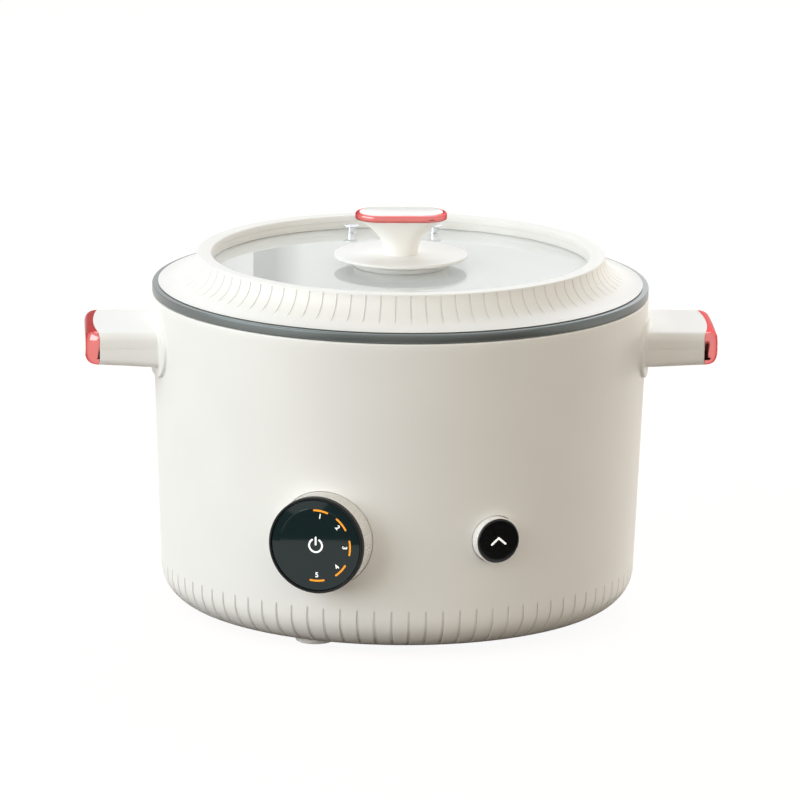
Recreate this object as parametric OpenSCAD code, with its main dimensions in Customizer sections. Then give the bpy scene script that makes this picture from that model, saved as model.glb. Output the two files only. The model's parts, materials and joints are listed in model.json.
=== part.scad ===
// Countertop multicooker: a round housing with a lift-off glass lid, a removable inner pot,
// and a basket that a motor lifts through a column in the middle of the pot.
// Millimetres, +Z up, origin on the body axis at table level, controls towards -Y.

/* [Body] */
// How far the housing's top edge stands out past the pot's rim
body_proud = 0.3; // [0.1:0.1:1]
// Height of the housing's top edge above the table
body_top_z = 199.7; // [195:0.1:210]
// How much the wall leans in for each millimetre down
body_draft = 0.04; // [0.03:0.005:0.05]
// Wall thickness of the housing
wall = 2.8; // [2.2:0.1:3.4]
// Radius of the rounded bottom corner
corner_r = 22; // [19:0.5:24]
// Width of the flat lip round the bottom opening
base_lip = 2; // [1:0.5:4]
// Width of the ledge that the base plate screws to
ledge_w = 10; // [10:0.5:14]
// Thickness of that ledge
ledge_t = 2.8; // [2:0.1:4]
// Number of flutes round the foot of the housing
flute_n = 88; // [60:1:100]
// Width of a flute
flute_w = 1; // [0.8:0.1:1.4]
// Depth of a flute
flute_d = 0.6; // [0.4:0.1:0.8]
// Height where the flutes end at the top
flute_top_z = 30.5; // [29:0.5:40]
// Turn of the row of flutes about the axis
flute_turn = -0.95; // [-2:0.05:2]

/* [Base] */
// Thickness of the base plate
plate_t = 2.5; // [2:0.1:4]
// Height of the feet
foot_h = 5; // [4:0.5:7]
// Radius of a foot
foot_r = 12; // [9:0.5:12]
// Space between a foot and the edge of the base
foot_inset = 1.4; // [1:0.1:20]
// Number of base screws
base_screw_n = 6; // [4:1:8]
// Radius of the base screws
base_screw_r = 1.5; // [1.2:0.1:1.8]
// Radius of the posts that carry the heat shield
post_r = 5; // [4:0.5:7]
// Distance of those posts' axes from the edge of the heat shield
post_inset = 28.8; // [24:0.1:36]

/* [Pot] */
// Inner radius of the pot
pot_r = 140; // [130:0.5:150]
// Wall thickness of the pot
pot_wall = 2.2; // [1.6:0.1:2.8]
// Height of the pot's inner floor
pot_floor_z = 106; // [105:0.5:110]
// Inner radius of the pot's bottom corner
pot_corner_r = 12; // [8:0.5:16]
// Height of the pot's visible rim
rim_h = 5.65; // [5:0.05:7]
// Width of the pot's rim outside its inner wall
rim_w = 15; // [14:0.1:17]
// Thickness of the rim's turned-down edge
rim_edge = 2.5; // [2:0.1:3]
// Rounding of the rim's outer top edge
rim_round = 1.8; // [1:0.1:2.2]
// Space between the guide sleeve and the column in the pot
column_play = 0.55; // [0.4:0.05:1.5]
// Height of the column above the pot's floor
column_h = 40; // [36:0.5:41]
// Height of the seal in the column's top
column_seal_h = 5; // [3:0.5:7]

/* [Basket] */
// Space between the basket's wall and the pot's
basket_gap = 9; // [9:0.5:18]
// Sheet thickness of the basket
basket_wall = 1.2; // [0.8:0.1:1.6]
// Height of the basket's wall above its floor
basket_h = 42; // [30:1:42]
// Space between the basket's floor and the pot's
basket_lift_off = 2; // [1:0.5:4]
// Width of the basket's rolled rim
basket_rim = 2.6; // [1.5:0.1:3]
// Radius of the basket's holes
basket_hole_r = 3.5; // [2.5:0.5:4]
// How far the basket rises
lift_travel = 50; // [30:1:50]

/* [Lid] */
// How far the lid's edge lies inside the pot's rim
lid_inset = 5; // [4:0.1:8]
// Height of the lid's outer edge
lid_edge_h = 1.25; // [1:0.05:1.6]
// Height of the lid frame from its seat to its top
lid_h = 18.75; // [17:0.25:22]
// Width of the hollow sweep from the flat ring to the lid's edge
lid_sweep = 22.6; // [20:0.1:24]
// Width of the flat ring on top
lid_ring = 9.1; // [8.5:0.1:14]
// Rounding of the flat ring's outer edge
lid_round = 1.7; // [1:0.1:2]
// Depth of the glass below the top of the frame
glass_drop = 8.2; // [7.5:0.1:9]
// Thickness of the glass
glass_t = 4; // [3:0.5:5]
// Width of the glass that the frame holds
glass_hold = 6.3; // [5:0.1:6.5]
// Height of the gasket over the glass
gasket_h = 4.2; // [3:0.1:5]
// Height of the ring that holds the glass from below
retainer_h = 3.5; // [2.5:0.1:4]
// Thickness of the skirt under the frame
skirt_t = 3.5; // [2.5:0.1:4]
// Depth of the skirt below the frame's seat
skirt_h = 3.6; // [3:0.1:3.6]
// Number of flutes round the lid
lid_flute_n = 96; // [60:1:110]
// Share of the lid's cove, in degrees of its arc, that the flutes run over
lid_flute_arc = 52; // [35:1:60]
// Distance of the two steam vents from the middle plane
vent_x = 26.5; // [20:0.5:40]
// Distance of the steam vents' axes from the edge of the window
vent_inset = 14.85; // [10:0.05:35]
// Radius of a steam vent's head
vent_head_r = 4.5; // [3.5:0.1:5.5]
// Radius of a steam vent's tube
vent_tube_r = 2.2; // [1.8:0.1:2.6]
// Height of a steam vent above the glass
vent_h = 5.3; // [4:0.1:7]

/* [Knob] */
// Radius of the neck that stands on the glass
neck_r = 29.5; // [24:0.5:34]
// Height of the neck
neck_h = 4.8; // [4:0.1:6]
// Radius of the disc above the neck
disc_r = 41.6; // [37:0.1:46]
// Thickness of the disc
disc_t = 2.9; // [2:0.1:4]
// Radius of the grip where it meets the disc
stem_r = 11.7; // [9:0.1:14]
// Height of the grip
grip_h = 21; // [17:0.5:26]
// Length of the knob's top
cap_l = 57.3; // [46:0.1:66]
// Width of the knob's top
cap_w = 32; // [28:0.5:38]
// Height of the chrome band
band_h = 4.5; // [3:0.1:6]
// Width of the chrome band seen from above
band_t = 2.4; // [1.5:0.1:3]
// How far the grip's top lies inside the band's outline
grip_inset = 0.3; // [0.1:0.1:0.8]
// How far the top cap stands above the band
cap_proud = 0.4; // [0.1:0.1:1]
// Radius of the knob screw
knob_screw_r = 2.5; // [2:0.1:3]

/* [Dial] */
// Angle of the dial and of the lift button to either side of the front
control_turn = 20.3; // [17:0.1:30]
// Height of the pot's floor above the middle of the dial and of the lift button
control_drop = 31; // [28:0.5:38]
// Radius of the dial
dial_r = 30; // [26:0.5:32]
// How far the dial stands out of the housing
dial_out = 17.5; // [14:0.5:20]
// Height of the black bezel along the dial's axis
bezel_h = 4.5; // [4.5:0.1:6]
// Width of the bezel's front rim
bezel_w = 2.4; // [2:0.1:4.2]
// Gap round the dial where it enters the housing
dial_gap = 0.75; // [0.5:0.05:1]
// Number of ribs round the dial's skirt
rib_n = 130; // [80:1:140]
// Depth of the ribs
rib_d = 0.4; // [0.2:0.1:0.6]
// Wall thickness of the dial's skirt
dial_wall = 5; // [5:0.5:8]
// Wall thickness of the hub
hub_wall = 3.5; // [2.5:0.1:4]
// Travel of the dial's face when it is pressed
face_push = 1.3; // [0.8:0.1:1.5]
// Thickness of the dial's face
face_t = 2.2; // [1.8:0.1:2.6]
// Radius of the stem behind the dial's face
face_stem_r = 6; // [4:0.5:8]
// Width of the bevel round the dial's face
face_bevel = 4.5; // [2:0.1:5]
// Depth of that bevel at its edge
face_drop = 0.9; // [0.4:0.1:1.2]
// Distance of the row of marks from the edge of the face's flat part
mark_inset = 0.8; // [0.8:0.1:5]
// Length of a mark
mark_l = 8.6; // [6:0.1:9]
// Width of a mark and of the strokes of the symbols
mark_w = 1.3; // [0.8:0.1:1.6]
// Depth of the marks in the face
mark_t = 0.7; // [0.4:0.1:1]
// Radius of the power symbol
power_r = 4.1; // [3:0.1:6]

/* [Lift button] */
// Radius of the button's black cap
button_r = 13.5; // [10:0.1:15]
// Wall thickness of the white bezel round it
button_rim = 0.8; // [0.7:0.05:1.5]
// How far the bezel stands out of the housing
button_out = 5.6; // [4:0.1:7]
// How far the cap stands out of the bezel
button_proud = 0.4; // [0:0.1:1]
// Travel of the button
button_push = 3; // [2:0.1:3.4]
// Radius of the button's stem
button_stem_r = 4; // [3:0.5:5]

/* [Handles] */
// Length of a handle from the housing to its end
handle_out = 42.9; // [36:0.1:52]
// Width of a handle
handle_w = 72; // [60:1:80]
// Thickness of a handle
handle_t = 20; // [17:0.5:22]
// Distance of the handles' middle below the housing's top edge
handle_drop = 29.7; // [28:0.1:40]
// Rounding of the handle's outer corners seen from above
handle_corner_r = 13; // [9:0.5:16]
// Rounding of the handle's long edges
handle_edge_r = 5; // [3:0.5:6]
// Rounding of the handle's end seen from the front
handle_end_r = 9; // [4:0.5:9.5]
// Height of the parting line above the handle's middle
handle_split = 1; // [0:0.5:2]
// Width of the chrome end band
handle_band = 9; // [6:0.5:12]
// Width of the band's rim round the end cap
handle_rim = 3; // [2:0.1:4]
// Half length of the oval boss on the housing
boss_l = 47; // [44:0.5:50]
// Half height of the oval boss
boss_h = 18.5; // [17:0.5:20]
// Thickness of the oval boss
boss_t = 2; // [1.5:0.1:3]
// Radius of the handle screws
handle_screw_r = 2; // [1.6:0.1:2.4]
// Distance of the handle screws from the handle's middle
handle_screw_y = 22; // [16:0.5:26]
// Distance of the handle screws' ends from the chrome band
handle_screw_stop = 14; // [8:0.5:20]

/* [Lift drive] */
// Radius of the lift rod
rod_r = 8; // [7.8:0.1:8.2]
// Space between the lift rod's lower end and the base plate
rod_clear = 2; // [1.5:0.5:2.5]
// Height of the soft tip on the rod
rod_tip_h = 3; // [2:0.5:5]
// Thickness of the guide sleeve
sleeve_t = 2.4; // [2:0.1:2.5]
// Gear module of the rack and the pinion
gear_m = 1.25; // [1:0.05:1.25]
// Number of teeth on the pinion
pinion_teeth = 16; // [15:1:17]
// Distance of the pinion's axis below the heat shield
pinion_drop = 15.8; // [14.8:0.1:16]
// Width of the pinion
pinion_w = 14; // [10:0.5:14]
// Radius of the pinion's shaft
shaft_r = 3; // [2:0.1:3.5]
// Depth of the rack's tips below the rod's surface
rack_flat = 1; // [0.8:0.1:1.4]
// Play between the flanks of the teeth
backlash = 0.2; // [0.1:0.05:0.3]
// Thickness of the gear carrier's cheeks
cheek_t = 3; // [2.5:0.5:4]
// Radius of the motor's gearbox
gearbox_r = 11; // [9:0.5:12]
// Length of the gearbox
gearbox_l = 18; // [14:1:24]
// Radius of the motor
motor_r = 10; // [8:0.5:11]
// Length of the motor
motor_l = 32; // [24:1:40]

/* [Heater] */
// Thickness of the heating plate
heater_t = 5; // [4:0.5:6]
// How much smaller the heating plate's radius is than the pot's
heater_inset = 22; // [18:1:30]
// Radius of the hole in the heating plate
heater_hole_r = 18; // [16:0.5:24]
// Radius of the tubular element
tube_r = 3.8; // [3:0.1:4]
// Distance of the element's ring from the heating plate's edge
tube_inset = 43; // [33:1:53]
// Thickness of the heat shield
shield_t = 1.2; // [0.8:0.1:1.6]
// Space between the heat shield and the heating plate
shield_gap = 8.5; // [8.5:0.1:9]

/* [Power inlet] */
// Width of the inlet
inlet_w = 40; // [34:1:46]
// Height of the inlet
inlet_h = 30; // [26:1:34]
// How far the inlet's mouth stands out of the housing
inlet_out = 8.7; // [6:0.1:12]
// Height of the inlet's middle
inlet_z = 60; // [55:1:66]
// Width of the socket
socket_w = 27; // [24:0.5:28]
// Height of the socket
socket_h = 20; // [17:0.5:21]
// Depth of the socket
socket_d = 20; // [16:0.5:22]
// Depth of the pins' ends below the socket's mouth
pin_sunk = 6; // [5:0.5:8]

/* [Fits] */
// Gap between pieces that move apart
body_gap = 0.3; // [0.2:0.05:0.4]
// Radial play of a shaft or slide in its bore
run_fit = 0.05; // [0.03:0.01:0.09]
// Play between pieces that are fixed together
seat_fit = 0.1; // [0.05:0.01:0.15]

/* [Hidden] */
$fn = 96;

// Finishes
shell_white = "#F1EEE8";
coral_chrome = "#C8434B";
pot_grey = "#5F6566";
gloss_black = "#141516";
slate_glass = "#2E383A";
mark_orange = "#F59A1E";
bright_metal = "#C9CCCE";
dark_metal = "#6E7274";
board_green = "#2F6B45";
soft_grey = "#B9BAB6";

// Radii that follow the pot's
rim_r = pot_r + rim_w;
body_top_r = rim_r + body_proud;
lid_r = rim_r - lid_inset;
lid_top_r = lid_r - lid_sweep;
window_r = lid_top_r - lid_ring;
vent_y = sqrt(pow(window_r - vent_inset, 2) - vent_x * vent_x);
basket_r = pot_r - basket_gap;
heater_r = pot_r - heater_inset;
tube_ring_r = heater_r - tube_inset;
inlet_y = body_top_r + inlet_out;

// Radii that follow the lift rod's
sleeve_bore_r = rod_r + run_fit;
sleeve_r = sleeve_bore_r + sleeve_t;
sleeve_flange_r = sleeve_r + 3.5;
column_r = sleeve_r + column_play;

// Housing levels
corner_z = foot_h + corner_r;
corner_x = body_r(corner_z) - corner_r;
base_open_r = corner_x - base_lip;
foot_place_r = base_open_r - foot_r - foot_inset;
plate_top_z = foot_h + plate_t;
ledge_top_z = plate_top_z + ledge_t;
ledge_in_r = base_open_r - ledge_w;
base_boss_r = base_screw_r + 2.2;
base_screw_place_r = ledge_in_r + base_boss_r + 0.6;
base_boss_top_z = ledge_top_z + 7;
base_head_r = 2 * base_screw_r;
base_head_h = base_screw_r;
base_head_z = foot_h + 0.2;

// Pot levels
rim_low_z = body_top_z + body_gap;
rim_top_z = rim_low_z + rim_h;
pot_under_z = pot_floor_z - pot_wall;
column_out_r = column_r + pot_wall;
column_top_z = pot_floor_z + column_h;

// Heater levels
heater_top_z = pot_under_z - body_gap;
heater_low_z = heater_top_z - heater_t;
shield_top_z = heater_low_z - shield_gap;
shield_low_z = shield_top_z - shield_t;

// Basket levels
basket_low_z = pot_floor_z + basket_lift_off;
basket_top_z = basket_low_z + basket_h;
hub_in_r = column_out_r + 2 * body_gap;
hub_out_r = hub_in_r + 1.6;
hub_flange_r = hub_out_r + 8;
rod_top_z = column_top_z + 4;
hub_top_z = rod_top_z + body_gap + 2;

// Lid levels
seat_z = rim_top_z + body_gap;
lid_top_z = seat_z + lid_h;
cove_top_z = lid_top_z - lid_round;
cove_low_z = seat_z + lid_edge_h;
cove_a = lid_r - lid_top_r;
cove_b = cove_top_z - cove_low_z;
glass_top_z = lid_top_z - glass_drop;
glass_low_z = glass_top_z - glass_t;
glass_r = window_r + glass_hold;
pocket_r = glass_r + 0.9;
pocket_top_z = glass_top_z + gasket_h + seat_fit;
skirt_r = pocket_r + skirt_t;
skirt_low_z = seat_z - skirt_h;
seal_low_z = skirt_low_z + 0.5;

// Knob levels
disc_low_z = glass_top_z + neck_h;
disc_top_z = disc_low_z + disc_t;
grip_top_z = disc_top_z + grip_h;
knob_screw_top_z = disc_top_z - 1.5;
washer_t = 1.5;
washer_r = 3.6 * knob_screw_r;
knob_head_r = 2.2 * knob_screw_r;
knob_head_h = 1.2 * knob_screw_r;

// Dial, along its own axis from the housing's surface
control_z = pot_floor_z - control_drop;
control_r = body_r(control_z);
hub_r = dial_r - dial_wall;
bezel_z = dial_out - bezel_h;
face_front_z = dial_out - 0.4;
face_back_z = face_front_z - face_t;
bezel_in_r = dial_r - bezel_w;
face_r = bezel_in_r - body_gap;
skirt_back_z = -wall_depth(dial_r) - 0.1;
hub_flange_z = skirt_back_z - 1;
hub_flange_t = 3;
hub_back_z = hub_flange_z - hub_flange_t;
dial_hub_flange_r = dial_r + 4;
encoder_h = 5;
dial_board_z = hub_back_z - encoder_h;
tact_h = 3.5;
face_stem_end_z = dial_board_z + tact_h + face_push + body_gap;
mark_angles = [8, 48.5, 90, 132, 177];
mark_r = face_r - face_bevel - mark_inset;
mark_half = mark_l / 2 / mark_r * 180 / PI;

// Lift button, along its own axis
button_in_r = button_r + body_gap;
button_out_r = button_in_r + button_rim;
button_front_z = button_out + button_proud;
button_back_z = 0;
button_flange_z = -wall_depth(button_out_r + 4) - 0.5;
button_flange_t = 2.4;
button_post_l = 11;
button_board_z = button_flange_z - button_flange_t - button_post_l;
switch_h = 4.5;
button_stem_end_z = button_board_z + switch_h + button_push + body_gap;
board_t = 1.6;
shield_r = control_r + dial_board_z - board_t - 5;
post_place_r = shield_r - post_inset;

// Lift drive
pitch_r = gear_m * pinion_teeth / 2;
pinion_z = shield_low_z - pinion_drop;
rod_low_z = plate_top_z + rod_clear;
rack_tip_x = rod_r - rack_flat;
rack_pitch_x = rack_tip_x - gear_m;
rack_root_x = rack_tip_x - 2.25 * gear_m;
pinion_x = rack_pitch_x + pitch_r;
tooth_step = PI * gear_m;
tip_r = pitch_r + gear_m;
sleeve_top_z = column_top_z - column_seal_h - 1;
cheek_y = pinion_w / 2 + 2;
cheek_out_y = cheek_y + cheek_t;
carrier_x0 = sleeve_flange_r + 2.2;
carrier_x1 = pinion_x + tip_r + 7;
carrier_top_z = pinion_z + tip_r;
shaft_in = 6;

// Handles
handle_z = body_top_z - handle_drop;
handle_reach = body_r(handle_z) + handle_out;
handle_screw_z = handle_z + handle_split + (handle_t / 2 - handle_split) / 2;
handle_in_x = body_r(handle_z) - 20;
band_x = handle_reach - handle_band;

function body_r(z) = body_top_r - body_draft * (body_top_z - z);

// Depth of the housing's inner face below its surface at a distance x to the side
function wall_depth(x) = control_r - sqrt(pow(control_r, 2) - x * x) + wall;

// Points of an arc about c
function arc(c, r, a0, a1, n) =
    [for (i = [0:n]) let(a = a0 + (a1 - a0) * i / n) [c[0] + r * cos(a), c[1] + r * sin(a)]];

// Outline with straight sides and round ends, with half lengths a and b
function stadium(a, b, n = 12) =
    concat(arc([a - b, 0], b, -90, 90, n), arc([b - a, 0], b, 90, 270, n));

// Rectangle with round corners, about its middle
function round_rect(w, h, r, n = 6) = concat(
    arc([w / 2 - r, h / 2 - r], r, 0, 90, n), arc([r - w / 2, h / 2 - r], r, 90, 180, n),
    arc([r - w / 2, r - h / 2], r, 180, 270, n), arc([w / 2 - r, r - h / 2], r, 270, 360, n));

// Part of a flat ring, with angles read clockwise from the top
function ring_part(r, w, a0, a1, n = 10) = concat(
    [for (i = [0:n]) let(a = a0 + (a1 - a0) * i / n) [(r + w / 2) * sin(a), (r + w / 2) * cos(a)]],
    [for (i = [n:-1:0]) let(a = a0 + (a1 - a0) * i / n) [(r - w / 2) * sin(a), (r - w / 2) * cos(a)]]);

// A solid turned about the body axis from points (radius, height)
module turned(points) {
    rotate_extrude() polygon(points);
}

// A tube along +Z
module tube(r_out, r_in, z0, z1) {
    translate([0, 0, z0]) difference() {
        cylinder(r = r_out, h = z1 - z0);
        translate([0, 0, -1]) cylinder(r = r_in, h = z1 - z0 + 2);
    }
}

// A solid rod along +Z
module rod(r, z0, z1) {
    translate([0, 0, z0]) cylinder(r = r, h = z1 - z0);
}

// Children lie on the housing's surface, with +Z straight out and +Y up
module on_front(turn) {
    rotate([0, 0, turn]) translate([0, -control_r, control_z]) rotate([90, 0, 0]) children();
}

// Children at even angles round the body axis
module round_axis(n, r, turn = 0) {
    for (i = [0:n - 1]) rotate([0, 0, turn + 360 * i / n]) translate([r, 0, 0]) children();
}

// Mirror image for the left handle
module on_side(left) {
    rotate([0, 0, left ? 180 : 0]) children();
}

// Housing

module lower_quarter(r) {
    intersection() {
        circle(r);
        translate([0, -2 * r]) square([2 * r, 2 * r]);
    }
}

module body_outline(inset, over) {
    polygon([
        [0, foot_h + inset], [corner_x, foot_h + inset], [corner_x, corner_z],
        [body_r(corner_z) - inset, corner_z],
        [body_r(body_top_z + over) - inset, body_top_z + over], [0, body_top_z + over]]);
    translate([corner_x, corner_z]) lower_quarter(corner_r - inset);
}

module housing_shell() {
    rotate_extrude() difference() {
        body_outline(0, 0);
        intersection() {
            body_outline(wall, 1);
            translate([0, ledge_top_z]) square([2 * body_top_r, 2 * body_top_z]);
        }
        square([ledge_in_r, ledge_top_z + 1]);
        square([base_open_r, plate_top_z]);
    }
}

// Angles round the lower corner at which a flute's floor and its cut end
flute_floor_end = -72;
flute_cut_end = -80;

module body_flute() {
    deep = arc([corner_x, corner_z], corner_r - flute_d, 0, flute_floor_end, 5);
    rotate([90, 0, 0]) linear_extrude(flute_w, center = true) polygon(concat(
        [[body_r(flute_top_z) + 1, flute_top_z], [body_r(flute_top_z), flute_top_z]], deep,
        arc([corner_x, corner_z], corner_r + 3, flute_cut_end, 0, 4)));
}

module base_screw_places() {
    round_axis(base_screw_n, base_screw_place_r, 30) children();
}

module handle_screw_places() {
    for (left = [false, true], side = [-1, 1]) on_side(left)
        translate([0, side * handle_screw_y, handle_screw_z]) rotate([0, 90, 0]) children();
}

module housing() {
    color(shell_white) difference() {
        union() {
            housing_shell();
            base_screw_places() rod(base_boss_r, plate_top_z + ledge_t / 2, base_boss_top_z);
        }
        for (i = [0:flute_n - 1]) rotate([0, 0, -90 + flute_turn + 360 * i / flute_n]) body_flute();
        base_screw_places() rod(base_screw_r + seat_fit, plate_top_z - 1, base_boss_top_z - 2);
        on_front(-control_turn) rod(dial_r + dial_gap, -30, 30);
        on_front(control_turn) rod(button_out_r + seat_fit, -30, 30);
        handle_screw_places() rod(handle_screw_r + seat_fit, handle_in_x, handle_reach);
        inlet_block(inlet_w + 2 * seat_fit, inlet_h + 2 * seat_fit, inlet_y - 30, inlet_y + 10);
    }
}

// Base

module feet_places() {
    round_axis(3, foot_place_r) children();
}

board_w = 80;
board_d = 50;
board_margin = 28;
board_x = -(base_open_r - board_margin - board_w / 2);
board_y = 40;
board_low_z = plate_top_z + 6.5;

module board_posts(r, z0, z1) {
    for (x = [-1, 1], y = [-1, 1])
        translate([board_x + x * (board_w / 2 - 5), board_y + y * (board_d / 2 - 5), 0]) rod(r, z0, z1);
}

spigot_r = foot_r / 3;

module base_plate() {
    color(shell_white) difference() {
        union() {
            rod(base_open_r - body_gap, foot_h, plate_top_z);
            round_axis(4, post_place_r) rod(post_r, plate_top_z - 1, shield_low_z);
            board_posts(3, plate_top_z - 1, board_low_z);
        }
        base_screw_places() {
            rod(base_screw_r + seat_fit, 0, plate_top_z + 1);
            rod(base_head_r + seat_fit, 0, base_head_z + base_head_h);
        }
        feet_places() rod(spigot_r + seat_fit, 0, plate_top_z + 1);
    }
}

module feet() {
    color(soft_grey) feet_places() turned([
        [0, 0], [foot_r - 1.8, 0], [foot_r - 0.8, 0.4], [foot_r - 0.3, 1.2], [foot_r, foot_h - 0.6],
        [foot_r, foot_h], [spigot_r, foot_h], [spigot_r, plate_top_z], [0, plate_top_z]]);
}

module base_screws() {
    color(bright_metal) base_screw_places() {
        rod(base_head_r, base_head_z, base_head_z + base_head_h);
        rod(base_screw_r, base_head_z + base_head_h / 2, base_boss_top_z - 3);
    }
}

// Handles

// The whole grip from the body axis to its end, before it is divided
module handle_slab() {
    intersection() {
        rotate([90, 0, 90]) linear_extrude(handle_reach)
            translate([0, handle_z]) polygon(round_rect(handle_w, handle_t, handle_edge_r));
        linear_extrude(2 * handle_z) translate([handle_reach / 2, 0])
            polygon(round_rect(handle_reach, handle_w, handle_corner_r, 8));
        rotate([90, 0, 0]) linear_extrude(2 * handle_w, center = true)
            translate([handle_reach / 2, handle_z]) polygon(round_rect(handle_reach, handle_t, handle_end_r, 8));
    }
}

// Space taken by the housing, grown by a distance
module housing_core(grow) {
    turned([[0, handle_z - 60], [body_r(handle_z - 60) + grow, handle_z - 60],
        [body_r(handle_z + 60) + grow, handle_z + 60], [0, handle_z + 60]]);
}

module handle_boss() {
    difference() {
        intersection() {
            rotate([90, 0, 90]) linear_extrude(handle_reach)
                translate([0, handle_z]) polygon(stadium(boss_l, boss_h));
            housing_core(boss_t);
        }
        housing_core(seat_fit);
    }
}

module slice_x(x0, x1, z0, z1) {
    translate([x0, -handle_w, z0]) cube([x1 - x0, 2 * handle_w, z1 - z0]);
}

split_z = handle_z + handle_split;

module handle_upper(left) {
    color(shell_white) on_side(left) difference() {
        union() {
            handle_boss();
            difference() {
                intersection() {
                    handle_slab();
                    slice_x(handle_in_x, band_x, split_z, handle_z + handle_t);
                }
                housing_core(boss_t / 2);
            }
        }
        for (side = [-1, 1]) translate([0, side * handle_screw_y, handle_screw_z]) rotate([0, 90, 0])
            rod(handle_screw_r + seat_fit, handle_in_x, handle_screw_end_x + 1);
    }
}

module handle_lower(left) {
    color(shell_white) on_side(left) difference() {
        intersection() {
            handle_slab();
            slice_x(handle_in_x, band_x, handle_z - handle_t, split_z - seat_fit);
        }
        housing_core(boss_t + seat_fit);
    }
}

cap_back_x = handle_reach - handle_band / 2;

module handle_end_space(play) {
    translate([cap_back_x, 0, handle_z]) rotate([90, 0, 90]) linear_extrude(handle_band)
        polygon(round_rect(handle_w - 2 * handle_corner_r + 2 * play, handle_t - 2 * handle_rim + 2 * play,
            (handle_t - 2 * handle_rim) / 3));
}

module handle_band_ring(left) {
    color(coral_chrome) on_side(left) difference() {
        intersection() {
            handle_slab();
            slice_x(band_x + seat_fit, handle_reach + 1, handle_z - handle_t, handle_z + handle_t);
        }
        handle_end_space(seat_fit);
    }
}

module handle_end_cap(left) {
    color(shell_white) on_side(left) intersection() {
        handle_slab();
        handle_end_space(0);
    }
}

module handle_left() { handle_upper(true); }
module handle_left_cover() { handle_lower(true); }
module handle_left_band() { handle_band_ring(true); }
module handle_left_cap() { handle_end_cap(true); }
module handle_right() { handle_upper(false); }
module handle_right_cover() { handle_lower(false); }
module handle_right_band() { handle_band_ring(false); }
module handle_right_cap() { handle_end_cap(false); }

handle_head_r = 1.8 * handle_screw_r;
handle_head_h = 1.2 * handle_screw_r;
wall_face_x = sqrt(pow(body_r(handle_screw_z) - wall, 2) - pow(handle_screw_y + handle_head_r, 2));
handle_screw_end_x = band_x - handle_screw_stop;

module handle_screws() {
    color(bright_metal) handle_screw_places() {
        rod(handle_head_r, wall_face_x - handle_head_h, wall_face_x - seat_fit);
        rod(handle_screw_r, wall_face_x - handle_head_h / 2, handle_screw_end_x);
    }
}

// Heater

module heat_shield() {
    color(bright_metal) tube(shield_r, sleeve_r + body_gap, shield_low_z, shield_top_z);
}

leg_place_r = heater_r - 12;

module heating_plate() {
    color(dark_metal) {
        tube(heater_r, heater_hole_r, heater_low_z, heater_top_z);
        round_axis(3, leg_place_r, 30) rod(4, shield_top_z, heater_low_z + 1);
    }
}

element_gap_angle = 24;
element_z = heater_low_z - seat_fit - tube_r;

module heating_element() {
    color(bright_metal) rotate([0, 0, 90 + element_gap_angle / 2])
        rotate_extrude(angle = 360 - element_gap_angle) translate([tube_ring_r, element_z]) circle(tube_r);
}

module thermostat() {
    color(bright_metal) translate([-36, 22, 0]) {
        rod(9, heater_low_z - 3 - seat_fit, heater_low_z - seat_fit);
        rod(6, heater_low_z - 6, heater_low_z - 2);
    }
}

module thermal_fuse() {
    color(soft_grey) translate([36, 30, heater_low_z - 2 - seat_fit]) rotate([90, 0, 0]) rod(2, -11, 11);
}

// Lift drive

module guide_sleeve() {
    color(soft_grey) difference() {
        union() {
            rod(sleeve_r, plate_top_z, sleeve_top_z);
            rod(sleeve_flange_r, plate_top_z, plate_top_z + 3);
        }
        rod(sleeve_bore_r, plate_top_z - 1, sleeve_top_z + 1);
        translate([rack_root_x - 0.6, -pinion_w / 2 - 0.8, pinion_z - tip_r - 2])
            cube([2 * sleeve_r, pinion_w + 1.6, 2 * tip_r + 4]);
    }
}

// Involute tooth flanks, by roll angle in degrees
gear_base_r = pitch_r * cos(20);
gear_root_r = pitch_r - 1.25 * gear_m;
flank_in = (tan(20) - 20 * PI / 180) * 180 / PI;
tooth_half = 90 / pinion_teeth - backlash / 2 / pitch_r * 180 / PI;
roll_tip = sqrt(pow(tip_r / gear_base_r, 2) - 1) * 180 / PI;

function flank_angle(roll) = roll - atan(roll * PI / 180) - flank_in - tooth_half;
function flank_r(roll) = gear_base_r * sqrt(1 + pow(roll * PI / 180, 2));
function polar(r, a) = [r * cos(a), r * sin(a)];

function gear_tooth(mid, n = 4) = concat(
    [polar(gear_root_r, mid + flank_angle(0))],
    [for (i = [0:n]) polar(flank_r(roll_tip * i / n), mid + flank_angle(roll_tip * i / n))],
    [for (i = [n:-1:0]) polar(flank_r(roll_tip * i / n), mid - flank_angle(roll_tip * i / n))],
    [polar(gear_root_r, mid - flank_angle(0))]);

// One tooth points straight at the rack
module pinion() {
    color(dark_metal) translate([pinion_x, 0, pinion_z]) rotate([90, 0, 0]) {
        linear_extrude(pinion_w, center = true)
            polygon([for (i = [0:pinion_teeth - 1]) each gear_tooth(180 + 360 * i / pinion_teeth)]);
        rod(shaft_r, -cheek_out_y - shaft_in, cheek_out_y + 1);
    }
}

module gear_carrier() {
    color(soft_grey) difference() {
        union() {
            for (y = [-cheek_out_y, cheek_y]) translate([carrier_x0 - 5, y, plate_top_z])
                cube([carrier_x1 - carrier_x0 + 5, cheek_t, carrier_top_z - plate_top_z]);
            translate([carrier_x0, -cheek_out_y, plate_top_z])
                cube([carrier_x1 - carrier_x0, 2 * cheek_out_y, cheek_t]);
        }
        translate([pinion_x, 0, pinion_z]) rotate([90, 0, 0])
            rod(shaft_r + run_fit, -2 * cheek_out_y, 2 * cheek_out_y);
        rod(sleeve_flange_r + seat_fit, 0, carrier_top_z + 1);
    }
}

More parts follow.
